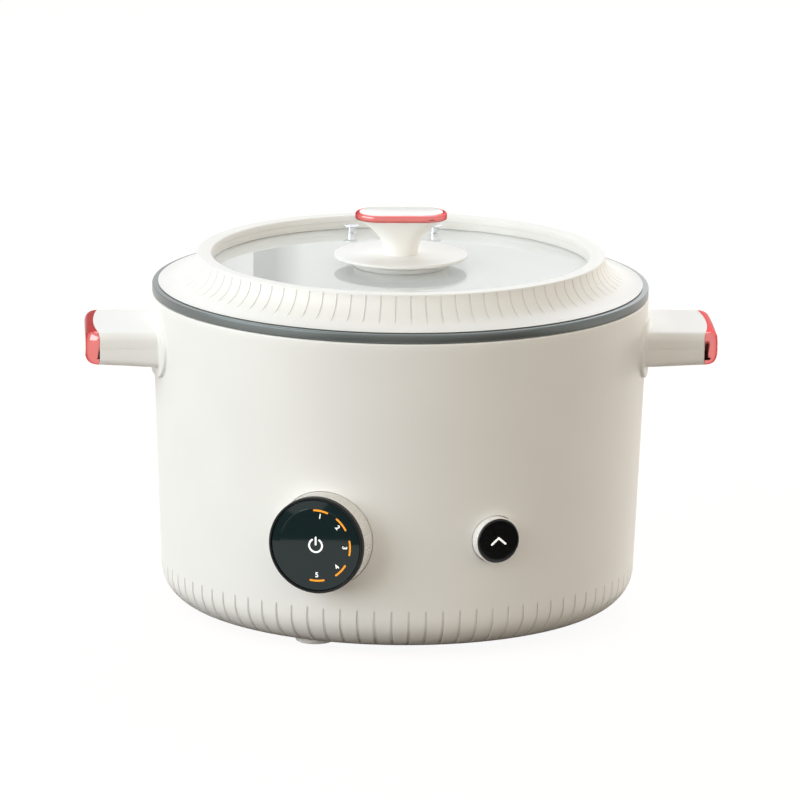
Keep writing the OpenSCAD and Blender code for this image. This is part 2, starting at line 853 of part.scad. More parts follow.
module lift_motor() {
    color(dark_metal) translate([pinion_x, cheek_out_y, pinion_z]) rotate([-90, 0, 0]) difference() {
        union() {
            rod(gearbox_r, 0, gearbox_l);
            rod(motor_r, gearbox_l - 1, gearbox_l + motor_l);
        }
        rod(shaft_r + run_fit, -1, shaft_in + 1);
    }
}

rack_low_z = pinion_z - lift_travel - tip_r;
rack_high_z = pinion_z + tip_r;
rack_n = floor((rack_high_z - rack_low_z) / tooth_step);

module rack_space() {
    half = tooth_step / 4;
    over = gear_m + 1;
    rotate([90, 0, 0]) linear_extrude(3 * rod_r, center = true) polygon([
        [rack_pitch_x + over, half + over * tan(20)], [rack_root_x, half - 1.25 * gear_m * tan(20)],
        [rack_root_x, 1.25 * gear_m * tan(20) - half], [rack_pitch_x + over, -half - over * tan(20)]]);
}

module lift_rod() {
    color(bright_metal) difference() {
        rod(rod_r, rod_low_z, rod_top_z - rod_tip_h);
        translate([rack_tip_x, -rod_r, rod_low_z - 1]) cube([rod_r, 2 * rod_r, rack_high_z - rod_low_z + 1]);
        for (i = [-3:rack_n - 4]) translate([0, 0, pinion_z - i * tooth_step]) rack_space();
    }
}

module rod_tip() {
    color(gloss_black) rod(rod_r - 2 * run_fit, rod_top_z - rod_tip_h, rod_top_z);
}

// Dial

module dial_hub() {
    web_z = 2;
    color(gloss_black) on_front(-control_turn) {
        tube(hub_r, hub_r - hub_wall, hub_flange_z - 1, bezel_z - 1.5);
        tube(hub_r - hub_wall / 2, face_stem_r + run_fit, web_z, web_z + 3);
        tube(dial_hub_flange_r, hub_r - hub_wall, hub_back_z, hub_flange_z);
    }
}

module dial_encoder() {
    color(dark_metal) on_front(-control_turn)
        tube(hub_r - 1, hub_r - hub_wall - 4, dial_board_z, hub_back_z);
}

module dial_board() {
    color(board_green) on_front(-control_turn) {
        translate([0, 0, dial_board_z - board_t]) linear_extrude(board_t) square(2 * hub_r, center = true);
        translate([0, 0, dial_board_z - board_t / 2]) linear_extrude(tact_h + board_t / 2) square(6, center = true);
    }
}

module dial_skirt() {
    step = 360 / rib_n;
    color(shell_white) on_front(-control_turn) difference() {
        translate([0, 0, skirt_back_z]) linear_extrude(bezel_z - skirt_back_z) polygon([
            for (i = [0:rib_n - 1], k = [0:1]) polar(dial_r - k * rib_d, step * (i + k / 2))]);
        rod(hub_r + run_fit, skirt_back_z - 1, dial_out);
    }
}

module dial_bezel() {
    soft = 1;
    color(gloss_black) on_front(-control_turn) turned(concat(
        [[bezel_in_r, bezel_z], [dial_r, bezel_z]],
        arc([dial_r - soft, dial_out - soft], soft, 0, 90, 5),
        [[bezel_in_r + 0.4, dial_out], [bezel_in_r, dial_out - 0.4]]));
}

// The marks and the symbol, grown by a play, as one outline each
module mark_outlines(play) {
    for (a = mark_angles)
        polygon(ring_part(mark_r, mark_w + 2 * play, a - mark_half - 2 * play, a + mark_half + 2 * play));
}

module power_outline(play) {
    polygon(ring_part(power_r, mark_w + 2 * play, 35 - 2 * play, 325 + 2 * play, 24));
    translate([0, power_r * 0.7]) square([mark_w + 2 * play, power_r * 1.1 + 2 * play], center = true);
}

module dial_face() {
    pocket = mark_t + 0.05;
    color(slate_glass) on_front(-control_turn) difference() {
        union() {
            turned([[0, face_back_z], [face_r, face_back_z], [face_r, face_front_z - face_drop],
                [face_r - face_bevel, face_front_z], [0, face_front_z]]);
            rod(face_stem_r, face_stem_end_z, face_back_z + 1);
        }
        translate([0, 0, face_front_z - pocket]) linear_extrude(2 * pocket) mark_outlines(seat_fit / 2);
        translate([0, 0, face_front_z - pocket]) linear_extrude(2 * pocket) power_outline(seat_fit / 2);
    }
}

module mode_marks() {
    color(mark_orange) on_front(-control_turn)
        translate([0, 0, face_front_z - mark_t]) linear_extrude(mark_t + 0.1) mark_outlines(0);
}

module power_symbol() {
    color(shell_white) on_front(-control_turn)
        translate([0, 0, face_front_z - mark_t]) linear_extrude(mark_t + 0.1) power_outline(0);
}

// Lift button

module button_bezel() {
    post_x = button_out_r - 2;
    color(shell_white) on_front(control_turn) {
        tube(button_out_r, button_in_r, button_flange_z - 1, button_out);
        tube(button_out_r + 4, button_stem_r + run_fit, button_flange_z - button_flange_t, button_flange_z);
        for (side = [-1, 1]) translate([side * post_x, 0, 0])
            rod(2, button_board_z, button_flange_z - button_flange_t / 2);
    }
}

module button_board() {
    color(board_green) on_front(control_turn)
        translate([0, 0, button_board_z - board_t]) linear_extrude(board_t)
            square([2 * button_out_r + 4, 1.6 * button_out_r], center = true);
}

module lift_switch() {
    color(gloss_black) on_front(control_turn)
        translate([0, 0, button_board_z]) linear_extrude(switch_h) square([12, 8], center = true);
}

chevron_w = button_r / 3;

// An arrow head that points up, of two strokes
module chevron(play) {
    w = chevron_w;
    t = mark_w * 1.2 + 2 * play;
    polygon([[-w, -w / 2 - t / 2], [0, w / 2 - t / 2], [w, -w / 2 - t / 2],
        [w, -w / 2 + t / 2], [0, w / 2 + t / 2], [-w, -w / 2 + t / 2]]);
}

module button_cap() {
    soft = 0.8;
    color(gloss_black) on_front(control_turn) difference() {
        union() {
            turned(concat([[0, button_back_z], [button_r, button_back_z]],
                arc([button_r - soft, button_front_z - soft], soft, 0, 90, 5), [[0, button_front_z]]));
            rod(button_stem_r, button_stem_end_z, button_back_z + 1);
        }
        translate([0, 0, button_front_z - mark_t - 0.05]) linear_extrude(2 * mark_t) chevron(seat_fit / 2);
    }
}

module button_symbol() {
    color(shell_white) on_front(control_turn)
        translate([0, 0, button_front_z - mark_t]) linear_extrude(mark_t + 0.1) chevron(0);
}

// Power board and inlet

module power_board() {
    color(board_green) translate([board_x, board_y, board_low_z]) linear_extrude(board_t)
        square([board_w, board_d], center = true);
}

module board_parts() {
    top = board_low_z + board_t;
    color(gloss_black) translate([board_x, board_y, top]) {
        translate([-0.25 * board_w, -0.1 * board_d, 0]) linear_extrude(0.36 * board_d)
            square([0.35 * board_w, 0.44 * board_d], center = true);
        translate([0.18 * board_w, 0.16 * board_d, 0]) linear_extrude(0.3 * board_d)
            square([0.24 * board_w, 0.3 * board_d], center = true);
        translate([0.22 * board_w, -0.24 * board_d, 0]) rod(0.12 * board_d, 0, 0.4 * board_d);
    }
}

// A block with round corners that points out of the back
module inlet_block(w, h, y0, y1) {
    translate([0, y1, inlet_z]) rotate([90, 0, 0]) linear_extrude(y1 - y0)
        polygon(round_rect(w, h, 5));
}

inlet_wall_y = sqrt(pow(body_r(inlet_z - inlet_h / 2 - 4) - wall, 2) - pow(inlet_w / 2 + 4, 2));
inlet_back_y = inlet_wall_y - 8;

module power_inlet() {
    color(shell_white) difference() {
        union() {
            inlet_block(inlet_w, inlet_h, inlet_back_y, inlet_y);
            inlet_block(inlet_w + 8, inlet_h + 8, inlet_wall_y - 3, inlet_wall_y - seat_fit);
        }
        inlet_block(socket_w, socket_h, inlet_y - socket_d, inlet_y + 1);
        pin_places() inlet_pin(seat_fit, inlet_back_y - 1);
    }
}

module pin_places() {
    for (p = [[-7, -3], [7, -3], [0, 4]]) translate([p[0], 0, inlet_z + p[1]]) children();
}

module inlet_pin(play, y0) {
    translate([-1 - play, y0, -2 - play])
        cube([2 + 2 * play, inlet_y - pin_sunk - y0, 4 + 2 * play]);
}

module inlet_pins() {
    color(bright_metal) pin_places() inlet_pin(0, inlet_back_y - 6);
}

// Pot and basket

module inner_pot() {
    cx = pot_r - pot_corner_r;
    cz = pot_floor_z + pot_corner_r;
    flange_low_z = rim_top_z - pot_wall;
    lip = 1.5;
    color(pot_grey) turned(concat(
        [[column_r, pot_under_z]], arc([cx, cz], pot_corner_r + pot_wall, -90, 0, 9),
        [[pot_r + pot_wall, flange_low_z], [rim_r - rim_edge, flange_low_z], [rim_r - rim_edge, rim_low_z],
            [rim_r - 0.4, rim_low_z], [rim_r, rim_low_z + 0.4]],
        arc([rim_r - rim_round, rim_top_z - rim_round], rim_round, 0, 90, 7),
        arc([pot_r + lip, rim_top_z - lip], lip, 90, 180, 5), arc([cx, cz], pot_corner_r, 0, -90, 9),
        [[column_out_r, pot_floor_z], [column_out_r, column_top_z], [column_r, column_top_z]]));
}

module column_seal() {
    color(gloss_black) tube(column_r - seat_fit, rod_r + run_fit, column_top_z - column_seal_h, column_top_z);
}

hole_step = 18;
hole_rings = floor((basket_r - 14 - hub_flange_r - 8) / hole_step);

module basket_shell() {
    soft = 8;
    top = basket_top_z;
    in_r = basket_r - basket_wall;
    turned(concat(
        [[hub_in_r, basket_low_z]], arc([basket_r - soft, basket_low_z + soft], soft, -90, 0, 5),
        [[basket_r, top - basket_rim], [basket_r + basket_rim, top - basket_rim], [basket_r + basket_rim, top],
            [in_r, top]],
        arc([basket_r - soft, basket_low_z + soft], soft - basket_wall, 0, -90, 5),
        [[hub_in_r, basket_low_z + basket_wall]]));
}

module lift_basket() {
    color(bright_metal) difference() {
        basket_shell();
        for (k = [0:hole_rings]) let(r = hub_flange_r + 8 + k * hole_step)
            round_axis(round(2 * PI * r / 22), r) rod(basket_hole_r, basket_low_z - 1, basket_low_z + 5);
        for (row = [0:1]) round_axis(36, 0, 5 * row) translate([0, 0, basket_low_z + 16 + 13 * row])
            rotate([0, 90, 0]) rod(basket_hole_r, basket_r - 6, basket_r + 4);
    }
}

module basket_hub() {
    flange_z = basket_low_z + basket_wall;
    color(bright_metal) turned([
        [hub_in_r, flange_z], [hub_flange_r, flange_z], [hub_flange_r, flange_z + 1.6],
        [hub_out_r, flange_z + 1.6], [hub_out_r, hub_top_z - 1.5], [hub_out_r - 1.5, hub_top_z],
        [0, hub_top_z], [0, hub_top_z - 2], [hub_in_r, hub_top_z - 2]]);
}

// Lid

// The hollow sweep from the top ring out to the edge
function cove(a, grow = 0) =
    [lid_r - (cove_a + grow) * cos(a), cove_top_z - (cove_b + grow) * sin(a)];

module lid_flute() {
    n = 5;
    rotate([90, 0, 0]) linear_extrude(flute_w, center = true) polygon(concat(
        [cove(2, -3), cove(2)],
        [for (i = [1:n - 1]) cove(2 + (lid_flute_arc - 2) * i / n, flute_d)],
        [cove(lid_flute_arc), cove(lid_flute_arc, -3)]));
}

module lid_frame() {
    soft = 1;
    color(shell_white) difference() {
        turned(concat(
            [[window_r, pocket_top_z]], arc([window_r + soft, lid_top_z - soft], soft, 180, 90, 4),
            arc([lid_top_r - lid_round, lid_top_z - lid_round], lid_round, 90, 0, 5),
            [for (i = [1:10]) cove(9 * i)],
            [[lid_r, seat_z], [skirt_r, seat_z], [skirt_r, skirt_low_z], [pocket_r, skirt_low_z],
                [pocket_r, pocket_top_z]]));
        for (i = [0:lid_flute_n - 1]) rotate([0, 0, 360 * (i + 0.5) / lid_flute_n]) lid_flute();
    }
}

module vent_places() {
    for (side = [-1, 1]) translate([side * vent_x, vent_y, 0]) children();
}

module lid_glass() {
    color(slate_glass, 0.3) difference() {
        rod(glass_r, glass_low_z, glass_top_z);
        rod(knob_screw_r + seat_fit, glass_low_z - 1, glass_top_z + 1);
        vent_places() rod(vent_tube_r + seat_fit, glass_low_z - 1, glass_top_z + 1);
    }
}

module glass_gasket() {
    color(soft_grey) tube(pocket_r - seat_fit, window_r, glass_top_z, glass_top_z + gasket_h);
}

module glass_retainer() {
    color(shell_white) tube(pocket_r - seat_fit, window_r, glass_low_z - retainer_h, glass_low_z);
}

module lid_seal() {
    color(soft_grey) tube(pot_r - 2 * body_gap, skirt_r + seat_fit, seal_low_z, seat_z - seat_fit);
}

module steam_vents() {
    bore_r = 1;
    head_z = glass_top_z + 0.6 * vent_h;
    foot_z = glass_low_z - 1.5;
    color(bright_metal) vent_places() turned([
        [bore_r, foot_z], [vent_head_r - 0.5, foot_z], [vent_head_r - 0.5, glass_low_z], [vent_tube_r, glass_low_z],
        [vent_tube_r, head_z], [vent_head_r, head_z + 0.3], [vent_head_r, glass_top_z + vent_h - 0.6],
        [vent_head_r - 0.9, glass_top_z + vent_h], [bore_r, glass_top_z + vent_h]]);
}

// Knob

module knob_base() {
    soft = 1.2;
    color(shell_white) difference() {
        turned(concat([[0, glass_top_z], [neck_r, glass_top_z], [neck_r, disc_low_z], [disc_r - 0.6, disc_low_z],
            [disc_r, disc_low_z + 0.6]], arc([disc_r - soft, disc_top_z - soft], soft, 0, 90, 4), [[0, disc_top_z]]));
        rod(knob_screw_r + seat_fit, glass_top_z - 1, knob_screw_top_z + 0.3);
    }
}

// Share of the grip's widening at a share t of its height
function flare(t) = 1 - pow(1 - pow(t, 2.2), 1.25);

function grip_layer(t) =
    let(b = stem_r + (cap_w / 2 - grip_inset - stem_r) * flare(t),
        a = stem_r + (cap_l / 2 - grip_inset - stem_r) * flare(t))
    [for (p = stadium(a + 0.01, b)) [p[0], p[1], disc_top_z + grip_h * t]];

module knob_grip() {
    n = 12;
    m = len(grip_layer(0));
    color(shell_white) polyhedron(
        points = [for (i = [0:n]) each grip_layer(i / n)],
        faces = concat(
            [[for (k = [0:m - 1]) k]],
            [for (i = [0:n - 1], k = [0:m - 1]) each [
                [i * m + k, (i + 1) * m + k, i * m + (k + 1) % m],
                [i * m + (k + 1) % m, (i + 1) * m + k, (i + 1) * m + (k + 1) % m]]],
            [[for (k = [m - 1:-1:0]) n * m + k]]));
}

module knob_band() {
    color(coral_chrome) translate([0, 0, grip_top_z]) linear_extrude(band_h) difference() {
        polygon(stadium(cap_l / 2, cap_w / 2));
        polygon(stadium(cap_l / 2 - band_t, cap_w / 2 - band_t));
    }
}

module knob_cap() {
    inset = band_t + seat_fit;
    color(shell_white) translate([0, 0, grip_top_z]) linear_extrude(band_h + cap_proud)
        polygon(stadium(cap_l / 2 - inset, cap_w / 2 - inset));
}

module knob_washer() {
    color(soft_grey) tube(washer_r, knob_screw_r + seat_fit, glass_low_z - washer_t, glass_low_z);
}

module knob_screw() {
    under = glass_low_z - washer_t;
    color(bright_metal) {
        rod(knob_head_r, under - knob_head_h, under);
        rod(knob_screw_r, under - knob_head_h / 2, knob_screw_top_z);
    }
}

housing();
base_plate();
feet();
base_screws();
handle_left();
handle_left_cover();
handle_left_band();
handle_left_cap();
handle_right();
handle_right_cover();
handle_right_band();
handle_right_cap();
handle_screws();
heat_shield();
heating_plate();
heating_element();
thermostat();
thermal_fuse();
guide_sleeve();
gear_carrier();
lift_motor();
pinion();
lift_rod();
rod_tip();
dial_hub();
dial_encoder();
dial_board();
dial_skirt();
dial_bezel();
dial_face();
mode_marks();
power_symbol();
button_bezel();
button_board();
lift_switch();
button_cap();
button_symbol();
power_board();
board_parts();
power_inlet();
inlet_pins();
inner_pot();
column_seal();
lift_basket();
basket_hub();
lid_frame();
lid_glass();
glass_gasket();
glass_retainer();
lid_seal();
steam_vents();
knob_base();
knob_grip();
knob_band();
knob_cap();
knob_screw();
knob_washer();
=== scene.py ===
"""Looks of a countertop multicooker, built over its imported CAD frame.

All sizes in the classes are millimetres in the frame's own axes: z up from the table, the
controls towards -y and the handles along x. Each sub-assembly is a class that builds its meshes
and hands them over as pieces with a body, the nodes they stand for and a finish.
"""

import json
import logging
from dataclasses import dataclass
from enum import Enum
from math import acos, asin, copysign, cos, degrees, hypot, pi, radians, sin, sqrt, tan
from typing import Sequence

import bmesh
import bpy
import numpy as np
from bpy.types import ID, Material, Mesh, Node, NodeSocket, NodeTree, Object, World
from mathutils import Matrix, Quaternion, Vector

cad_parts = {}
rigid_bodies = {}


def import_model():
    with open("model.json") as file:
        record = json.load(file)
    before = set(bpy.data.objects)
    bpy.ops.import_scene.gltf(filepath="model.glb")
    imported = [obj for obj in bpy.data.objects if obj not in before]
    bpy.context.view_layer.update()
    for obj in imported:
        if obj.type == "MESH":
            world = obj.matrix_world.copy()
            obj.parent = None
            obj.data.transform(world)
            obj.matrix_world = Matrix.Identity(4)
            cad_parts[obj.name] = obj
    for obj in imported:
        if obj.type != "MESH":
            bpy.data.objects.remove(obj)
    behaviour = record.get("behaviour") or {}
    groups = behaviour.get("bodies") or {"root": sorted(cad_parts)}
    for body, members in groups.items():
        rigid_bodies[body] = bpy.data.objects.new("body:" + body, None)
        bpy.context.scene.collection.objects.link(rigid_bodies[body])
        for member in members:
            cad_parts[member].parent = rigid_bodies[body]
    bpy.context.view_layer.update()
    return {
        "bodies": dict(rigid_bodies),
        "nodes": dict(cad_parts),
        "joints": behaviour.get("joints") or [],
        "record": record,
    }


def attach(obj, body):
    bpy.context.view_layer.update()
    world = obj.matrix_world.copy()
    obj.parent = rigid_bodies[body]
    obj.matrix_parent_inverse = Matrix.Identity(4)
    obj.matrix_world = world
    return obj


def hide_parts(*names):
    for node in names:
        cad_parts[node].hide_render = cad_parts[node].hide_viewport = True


Point = tuple[float, float]
Spot = tuple[float, float, float]

MM = 0.001
FULL = 2.0 * pi
CREASE = 32.0
UPRIGHT = Matrix.Rotation(radians(90.0), 4, "X")
PRINT_SUNK = 0.05
PRINT_HIGH = 0.1
FIGURE_SHARE = 0.7
FIGURE_BOLD = 0.1
LOG = logging.getLogger("multicooker")


class Ends(Enum):
    """How the first and the last loop of a skin end."""

    OPEN = "open"
    CAPPED = "capped"
    RING = "ring"


class Grain(Enum):
    """Pattern that a finish shows from close by."""

    EVEN = "even"
    BRUSHED = "brushed"
    SPECKLED = "speckled"


class Side(Enum):
    """Side of the body that a handle or a control is on, as its sign along x."""

    LEFT = -1
    RIGHT = 1


def linear(code: str) -> tuple[float, float, float, float]:
    """Turns an sRGB hex code into linear colour.

    Args:
        code: Colour as #RRGGBB.

    Returns:
        Linear red, green, blue and an alpha of 1.
    """
    parts = [int(code[i:i + 2], 16) / 255.0 for i in (1, 3, 5)]
    red, green, blue = [p / 12.92 if p <= 0.04045 else ((p + 0.055) / 1.055) ** 2.4 for p in parts]
    return red, green, blue, 1.0


def add_node(tree: NodeTree, kind: str, settings: dict | None = None, links: dict | None = None) -> Node:
    """Adds a node to a tree.

    Args:
        tree: Node tree that gets the node.
        kind: Blender's name of the node type.
        settings: Values of the node's input sockets or properties by name.
        links: Output sockets that feed the node's inputs, by input name or number.

    Returns:
        The new node.
    """
    node = tree.nodes.new(kind)
    for key, value in (settings or {}).items():
        if key in node.inputs:
            node.inputs[key].default_value = value
        else:
            setattr(node, key, value)
    for key, socket in (links or {}).items():
        tree.links.new(socket, node.inputs[key])
    return node


def bare_tree(owner: Material | World) -> NodeTree:
    """Empties the node tree of a material or a world.

    Args:
        owner: The material or the world.

    Returns:
        Its tree, without nodes.
    """
    owner.use_nodes = True
    owner.node_tree.nodes.clear()
    return owner.node_tree


def linked(name: str, data: ID) -> Object:
    """Makes an object and links it to the scene.

    Args:
        name: Name of the object.
        data: Its mesh, curve, lamp or camera.

    Returns:
        The object.
    """
    obj = bpy.data.objects.new(name, data)
    bpy.context.scene.collection.objects.link(obj)
    return obj


@dataclass(frozen=True)
class Finish:
    """A surface finish, made into a procedural material.

    The pattern lies in object coordinates, so it keeps its real scale and moves with its piece.
    """

    name: str
    slot: str
    colour: str
    roughness: float
    grain: Grain = Grain.EVEN
    grain_mm: float = 1.6
    bump_mm: float = 0.0
    spread: float = 0.05
    tone: float = 0.015
    patch_mm: float = 60.0
    metallic: float = 0.0
    coat: float = 0.0
    ior: float = 1.5
    transmission: float = 0.0
    edge: str = "#FFFFFF"
    glow: float = 0.0

    def pattern(self, tree: NodeTree) -> tuple[NodeSocket, NodeSocket]:
        """Makes the fine pattern, drawn out level for a brushed finish.

        Args:
            tree: Node tree of the material.

        Returns:
            A socket with the pattern's coordinates and one with its values around 0.5.
        """
        coords = add_node(tree, "ShaderNodeTexCoord").outputs["Object"]
        if self.grain is Grain.BRUSHED:
            drawn = add_node(tree, "ShaderNodeMapping", {"Scale": (0.06, 0.06, 1.0)}, {"Vector": coords})
            coords = drawn.outputs["Vector"]
        scale = 1.0 / (self.grain_mm * MM)
        if self.grain is Grain.SPECKLED:
            cells = add_node(tree, "ShaderNodeTexVoronoi", {"Scale": scale}, {"Vector": coords})
            return coords, cells.outputs["Distance"]
        noise = add_node(tree, "ShaderNodeTexNoise", {"Scale": scale, "Detail": 3.0}, {"Vector": coords})
        return coords, noise.outputs["Fac"]

    def material(self) -> Material:
        """Makes the material once and gives it to every piece that asks for it.

        Returns:
            The material.
        """
        known = bpy.data.materials.get(self.name)
        if known is not None:
            return known
        made = bpy.data.materials.new(self.name)
        tree = bare_tree(made)
        coords, fine = self.pattern(tree)
        patches = {"Scale": 1.0 / (self.patch_mm * MM), "Detail": 2.0}
        broad = add_node(tree, "ShaderNodeTexNoise", patches, {"Vector": coords}).outputs["Fac"]
        middle = {"From Min": 0.3, "From Max": 0.7}
        tones = {**middle, "To Min": 1.0 - self.tone, "To Max": 1.0 + self.tone}
        shown = fine if self.grain is Grain.SPECKLED else broad
        level = add_node(tree, "ShaderNodeMapRange", tones, {"Value": shown}).outputs["Result"]
        base = {"Color": linear(self.colour)}
        tint = add_node(tree, "ShaderNodeHueSaturation", base, {"Value": level}).outputs["Color"]
        least = max(self.roughness - self.spread, 0.0)
        dulls = {**middle, "To Min": least, "To Max": self.roughness + self.spread}
        rough = add_node(tree, "ShaderNodeMapRange", dulls, {"Value": fine}).outputs["Result"]
        settings = {
            "Metallic": self.metallic, "Coat Weight": self.coat, "Transmission Weight": self.transmission,
            "Specular Tint": linear(self.edge),
        }
        # A glow is painted light: an emission that makes a surface brighter than the lamps light it.
        if self.glow > 0.0:
            settings.update({"Emission Color": linear(self.colour), "Emission Strength": self.glow})
        if self.metallic == 0.0:
            settings["IOR"] = self.ior
        links = {"Base Color": tint, "Roughness": rough}
        if self.bump_mm > 0.0:
            bump = add_node(tree, "ShaderNodeBump", {"Distance": self.bump_mm * MM}, {"Height": fine})
            links["Normal"] = bump.outputs["Normal"]
        shader = add_node(tree, "ShaderNodeBsdfPrincipled", settings, links)
        add_node(tree, "ShaderNodeOutputMaterial", {}, {"Surface": shader.outputs["BSDF"]})
        return made


# Warm white ABS with a satin mould texture: broad soft highlights. Its grain of a few tenths of a
# millimetre is drawn coarser so that it holds at this distance, and very shallow.
SHELL = Finish("satin_white_abs", "shell_white", "#F1F0ED", 0.42, bump_mm=0.004)
LID = Finish("satin_white_lid_abs", "lid_white", "#EFEEEB", 0.40, bump_mm=0.004)
KNOB = Finish("satin_white_knob_abs", "knob_white", "#EEEDEA", 0.36, bump_mm=0.004)
# Polished white ABS: the same colour with a clear, tighter highlight.
GLOSS = Finish("polished_white_abs", "gloss_white", "#F7F7F5", 0.2)
# Chrome over plastic under a clear coral lacquer: a tinted mirror that turns a deeper red at a
# low angle, with paler reflections on the lacquer's own surface.
CORAL = Finish("coral_chrome_plate", "coral_chrome", "#E4807D", 0.12, spread=0.03, metallic=1.0,
               coat=0.25, edge="#C23A44")
# Grey baked coating with fine metal flake on the pot's flange: a smooth, dull metallic sheen.
RIM = Finish("flake_grey_coating", "pot_coating", "#6F7574", 0.3, spread=0.01, tone=0.03, metallic=0.55)
# Pale ceramic coating inside the pot: matt, with fine flecks.
POT_INSIDE = Finish("pale_ceramic_coating", "pot_coating", "#F8F8F5", 0.38, Grain.SPECKLED, 1.2, tone=0.03)
# Tempered clear glass with a faint green-grey body and a light film of haze.
GLASS = Finish("tempered_glass", "lid_glass", "#FBFCFA", 0.0, spread=0.004, tone=0.004,
               ior=1.52, transmission=0.76)
# Silicone and foot rubber: soft, with no clear highlight.
GASKET = Finish("grey_silicone", "gasket_grey", "#F0EFEB", 0.55, bump_mm=0.006)
RUBBER = Finish("pale_foot_rubber", "foot_rubber", "#F3F2EF", 0.65, bump_mm=0.01)
BLACK_SILICONE = Finish("black_silicone_rubber", "black_silicone", "#1E1E1F", 0.5, bump_mm=0.006)
# Bright nickel-chrome plate on the vents: a near mirror.
CHROME = Finish("bright_chrome_plate", "vent_chrome", "#E2E4E6", 0.07, spread=0.02, metallic=1.0)
# Smoked polished acrylic of the dial's face: deep slate with a mirror-like surface.
FACE = Finish("smoked_acrylic", "face_slate", "#1D2B2D", 0.035, spread=0.008, tone=0.03, ior=1.4)
# Satin black ABS round the dial: dark, with a dull edge light.
BEZEL = Finish("satin_black_abs", "bezel_black", "#0A0A0B", 0.42, bump_mm=0.002, ior=1.35)
# Polished black ABS: dark, with a small clear highlight.
BLACK_GLOSS = Finish("polished_black_abs", "bezel_black", "#0D0D0E", 0.16, spread=0.03, tone=0.04)
# Printed inks: flat, with the slight unevenness of a pad print. Their faint glow is painted light,
# an emission that makes the print brighter than the lamps light it.
ORANGE = Finish("orange_ink", "mark_orange", "#FBA01E", 0.45, tone=0.03, patch_mm=4.0, glow=0.35)
WHITE_INK = Finish("white_ink", "symbol_white", "#FBFCFA", 0.45, tone=0.02, patch_mm=4.0, glow=0.45)
# Metals of the inside: zinc is flecked, rolled and ground steel are drawn level, cast skin is dull.
SCREW = Finish("zinc_steel", "screw_steel", "#C9CBCC", 0.28, Grain.SPECKLED, 0.8, 0.002, metallic=1.0)
SHEET = Finish("rolled_steel", "sheet_steel", "#BFC1C1", 0.34, Grain.BRUSHED, 1.0, 0.003, tone=0.05,
               metallic=1.0)
CAST = Finish("cast_aluminium_skin", "cast_aluminium", "#B9BABA", 0.48, Grain.SPECKLED, 1.4, 0.02, tone=0.05,
              metallic=1.0)
GEAR = Finish("ground_steel", "gear_steel", "#B9BBBC", 0.25, Grain.BRUSHED, 0.8, 0.002, tone=0.04,
              metallic=1.0)
BASKET = Finish("satin_steel", "basket_steel", "#CDCFCF", 0.3, Grain.BRUSHED, 0.9, 0.002, tone=0.04,
                metallic=1.0)
# Plastics, ceramic and boards of the inside: dull, and the boards' mask is patchy green.
BASE = Finish("moulded_base_abs", "base_plastic", "#DEDBD4", 0.55, bump_mm=0.012)
CERAMIC = Finish("fired_ceramic", "ceramic_white", "#E6E3DC", 0.5, bump_mm=0.008)
GUIDE = Finish("acetal_natural", "guide_plastic", "#D9D7CF", 0.36, bump_mm=0.004)
BLACK = Finish("moulded_black_abs", "black_plastic", "#1C1D1E", 0.45, bump_mm=0.008)
BOARD = Finish("green_solder_mask", "circuit_board", "#1F5A36", 0.3, bump_mm=0.004, tone=0.08, patch_mm=9.0)


def smooth(mesh: Mesh, crease: float) -> None:
    """Shades a mesh smooth, with edges sharp above an angle in degrees."""
    mesh.shade_smooth()
    mesh.set_sharp_from_angle(angle=radians(crease))


def skin(name: str, rows: np.ndarray, ends: Ends = Ends.RING, crease: float = CREASE) -> Object:
    """Builds a mesh over a stack of closed loops.

    Args:
        name: Name of the object.
        rows: Loops of points in millimetres, as loops by points by 3.
        ends: Whether the first and last loops stay open, are capped or join each other.
        crease: Angle in degrees above which an edge is sharp.

    Returns:
        The object, with its place in its vertices.
    """
    count, cols = rows.shape[:2]
    index = np.arange(count * cols).reshape(count, cols)
    low = index if ends is Ends.RING else index[:-1]
    high = np.roll(index, -1, axis=0) if ends is Ends.RING else index[1:]
    quads = np.stack([low, np.roll(low, -1, axis=1), np.roll(high, -1, axis=1), high], axis=-1)
    faces = quads.reshape(-1, 4).tolist()
    if ends is Ends.CAPPED:
        faces += [index[0][::-1].tolist(), index[-1].tolist()]
    mesh = bpy.data.meshes.new(name)
    mesh.from_pydata((rows.reshape(-1, 3) * MM).tolist(), [], faces)
    form = bmesh.new()
    form.from_mesh(mesh)
    bmesh.ops.remove_doubles(form, verts=form.verts, dist=1e-7)
    bmesh.ops.recalc_face_normals(form, faces=form.faces)
    form.to_mesh(mesh)
    form.free()
    smooth(mesh, crease)
    return linked(name, mesh)


def fillet(corners: Sequence[Spot], steps: int = 5) -> np.ndarray:
    """Rounds the corners of a closed outline.

    Args:
        corners: Each corner as two coordinates and its radius.
        steps: Number of segments in each rounding.

    Returns:
        The points of the rounded outline, as points by 2.
    """
    points = []
    count = len(corners)
    for i, (x, y, radius) in enumerate(corners):
        here = np.array((x, y))
        if radius <= 0.0:
            points.append(here)
            continue
        before = np.array(corners[i - 1][:2]) - here
        after = np.array(corners[(i + 1) % count][:2]) - here
        before /= np.linalg.norm(before)
        after /= np.linalg.norm(after)
        half = acos(float(np.clip(before @ after, -1.0, 1.0))) / 2.0
        middle = before + after
        centre = here + middle / np.linalg.norm(middle) * radius / sin(half)
        start = here + before * radius / tan(half) - centre
        end = here + after * radius / tan(half) - centre
        sweep = acos(float(np.clip(start @ end / radius ** 2, -1.0, 1.0)))
        for k in range(steps + 1):
            t = k / steps
            way = start * sin((1 - t) * sweep) + end * sin(t * sweep)
            points.append(centre + way / sin(sweep))
    return np.array(points)


def oblong(half_w: float, half_h: float, radius: float) -> np.ndarray:
    """Gives the points of a rectangle with rounded corners."""
    signs = ((1, 1), (-1, 1), (-1, -1), (1, -1))
    return fillet([(half_w * x, half_h * y, radius) for x, y in signs])


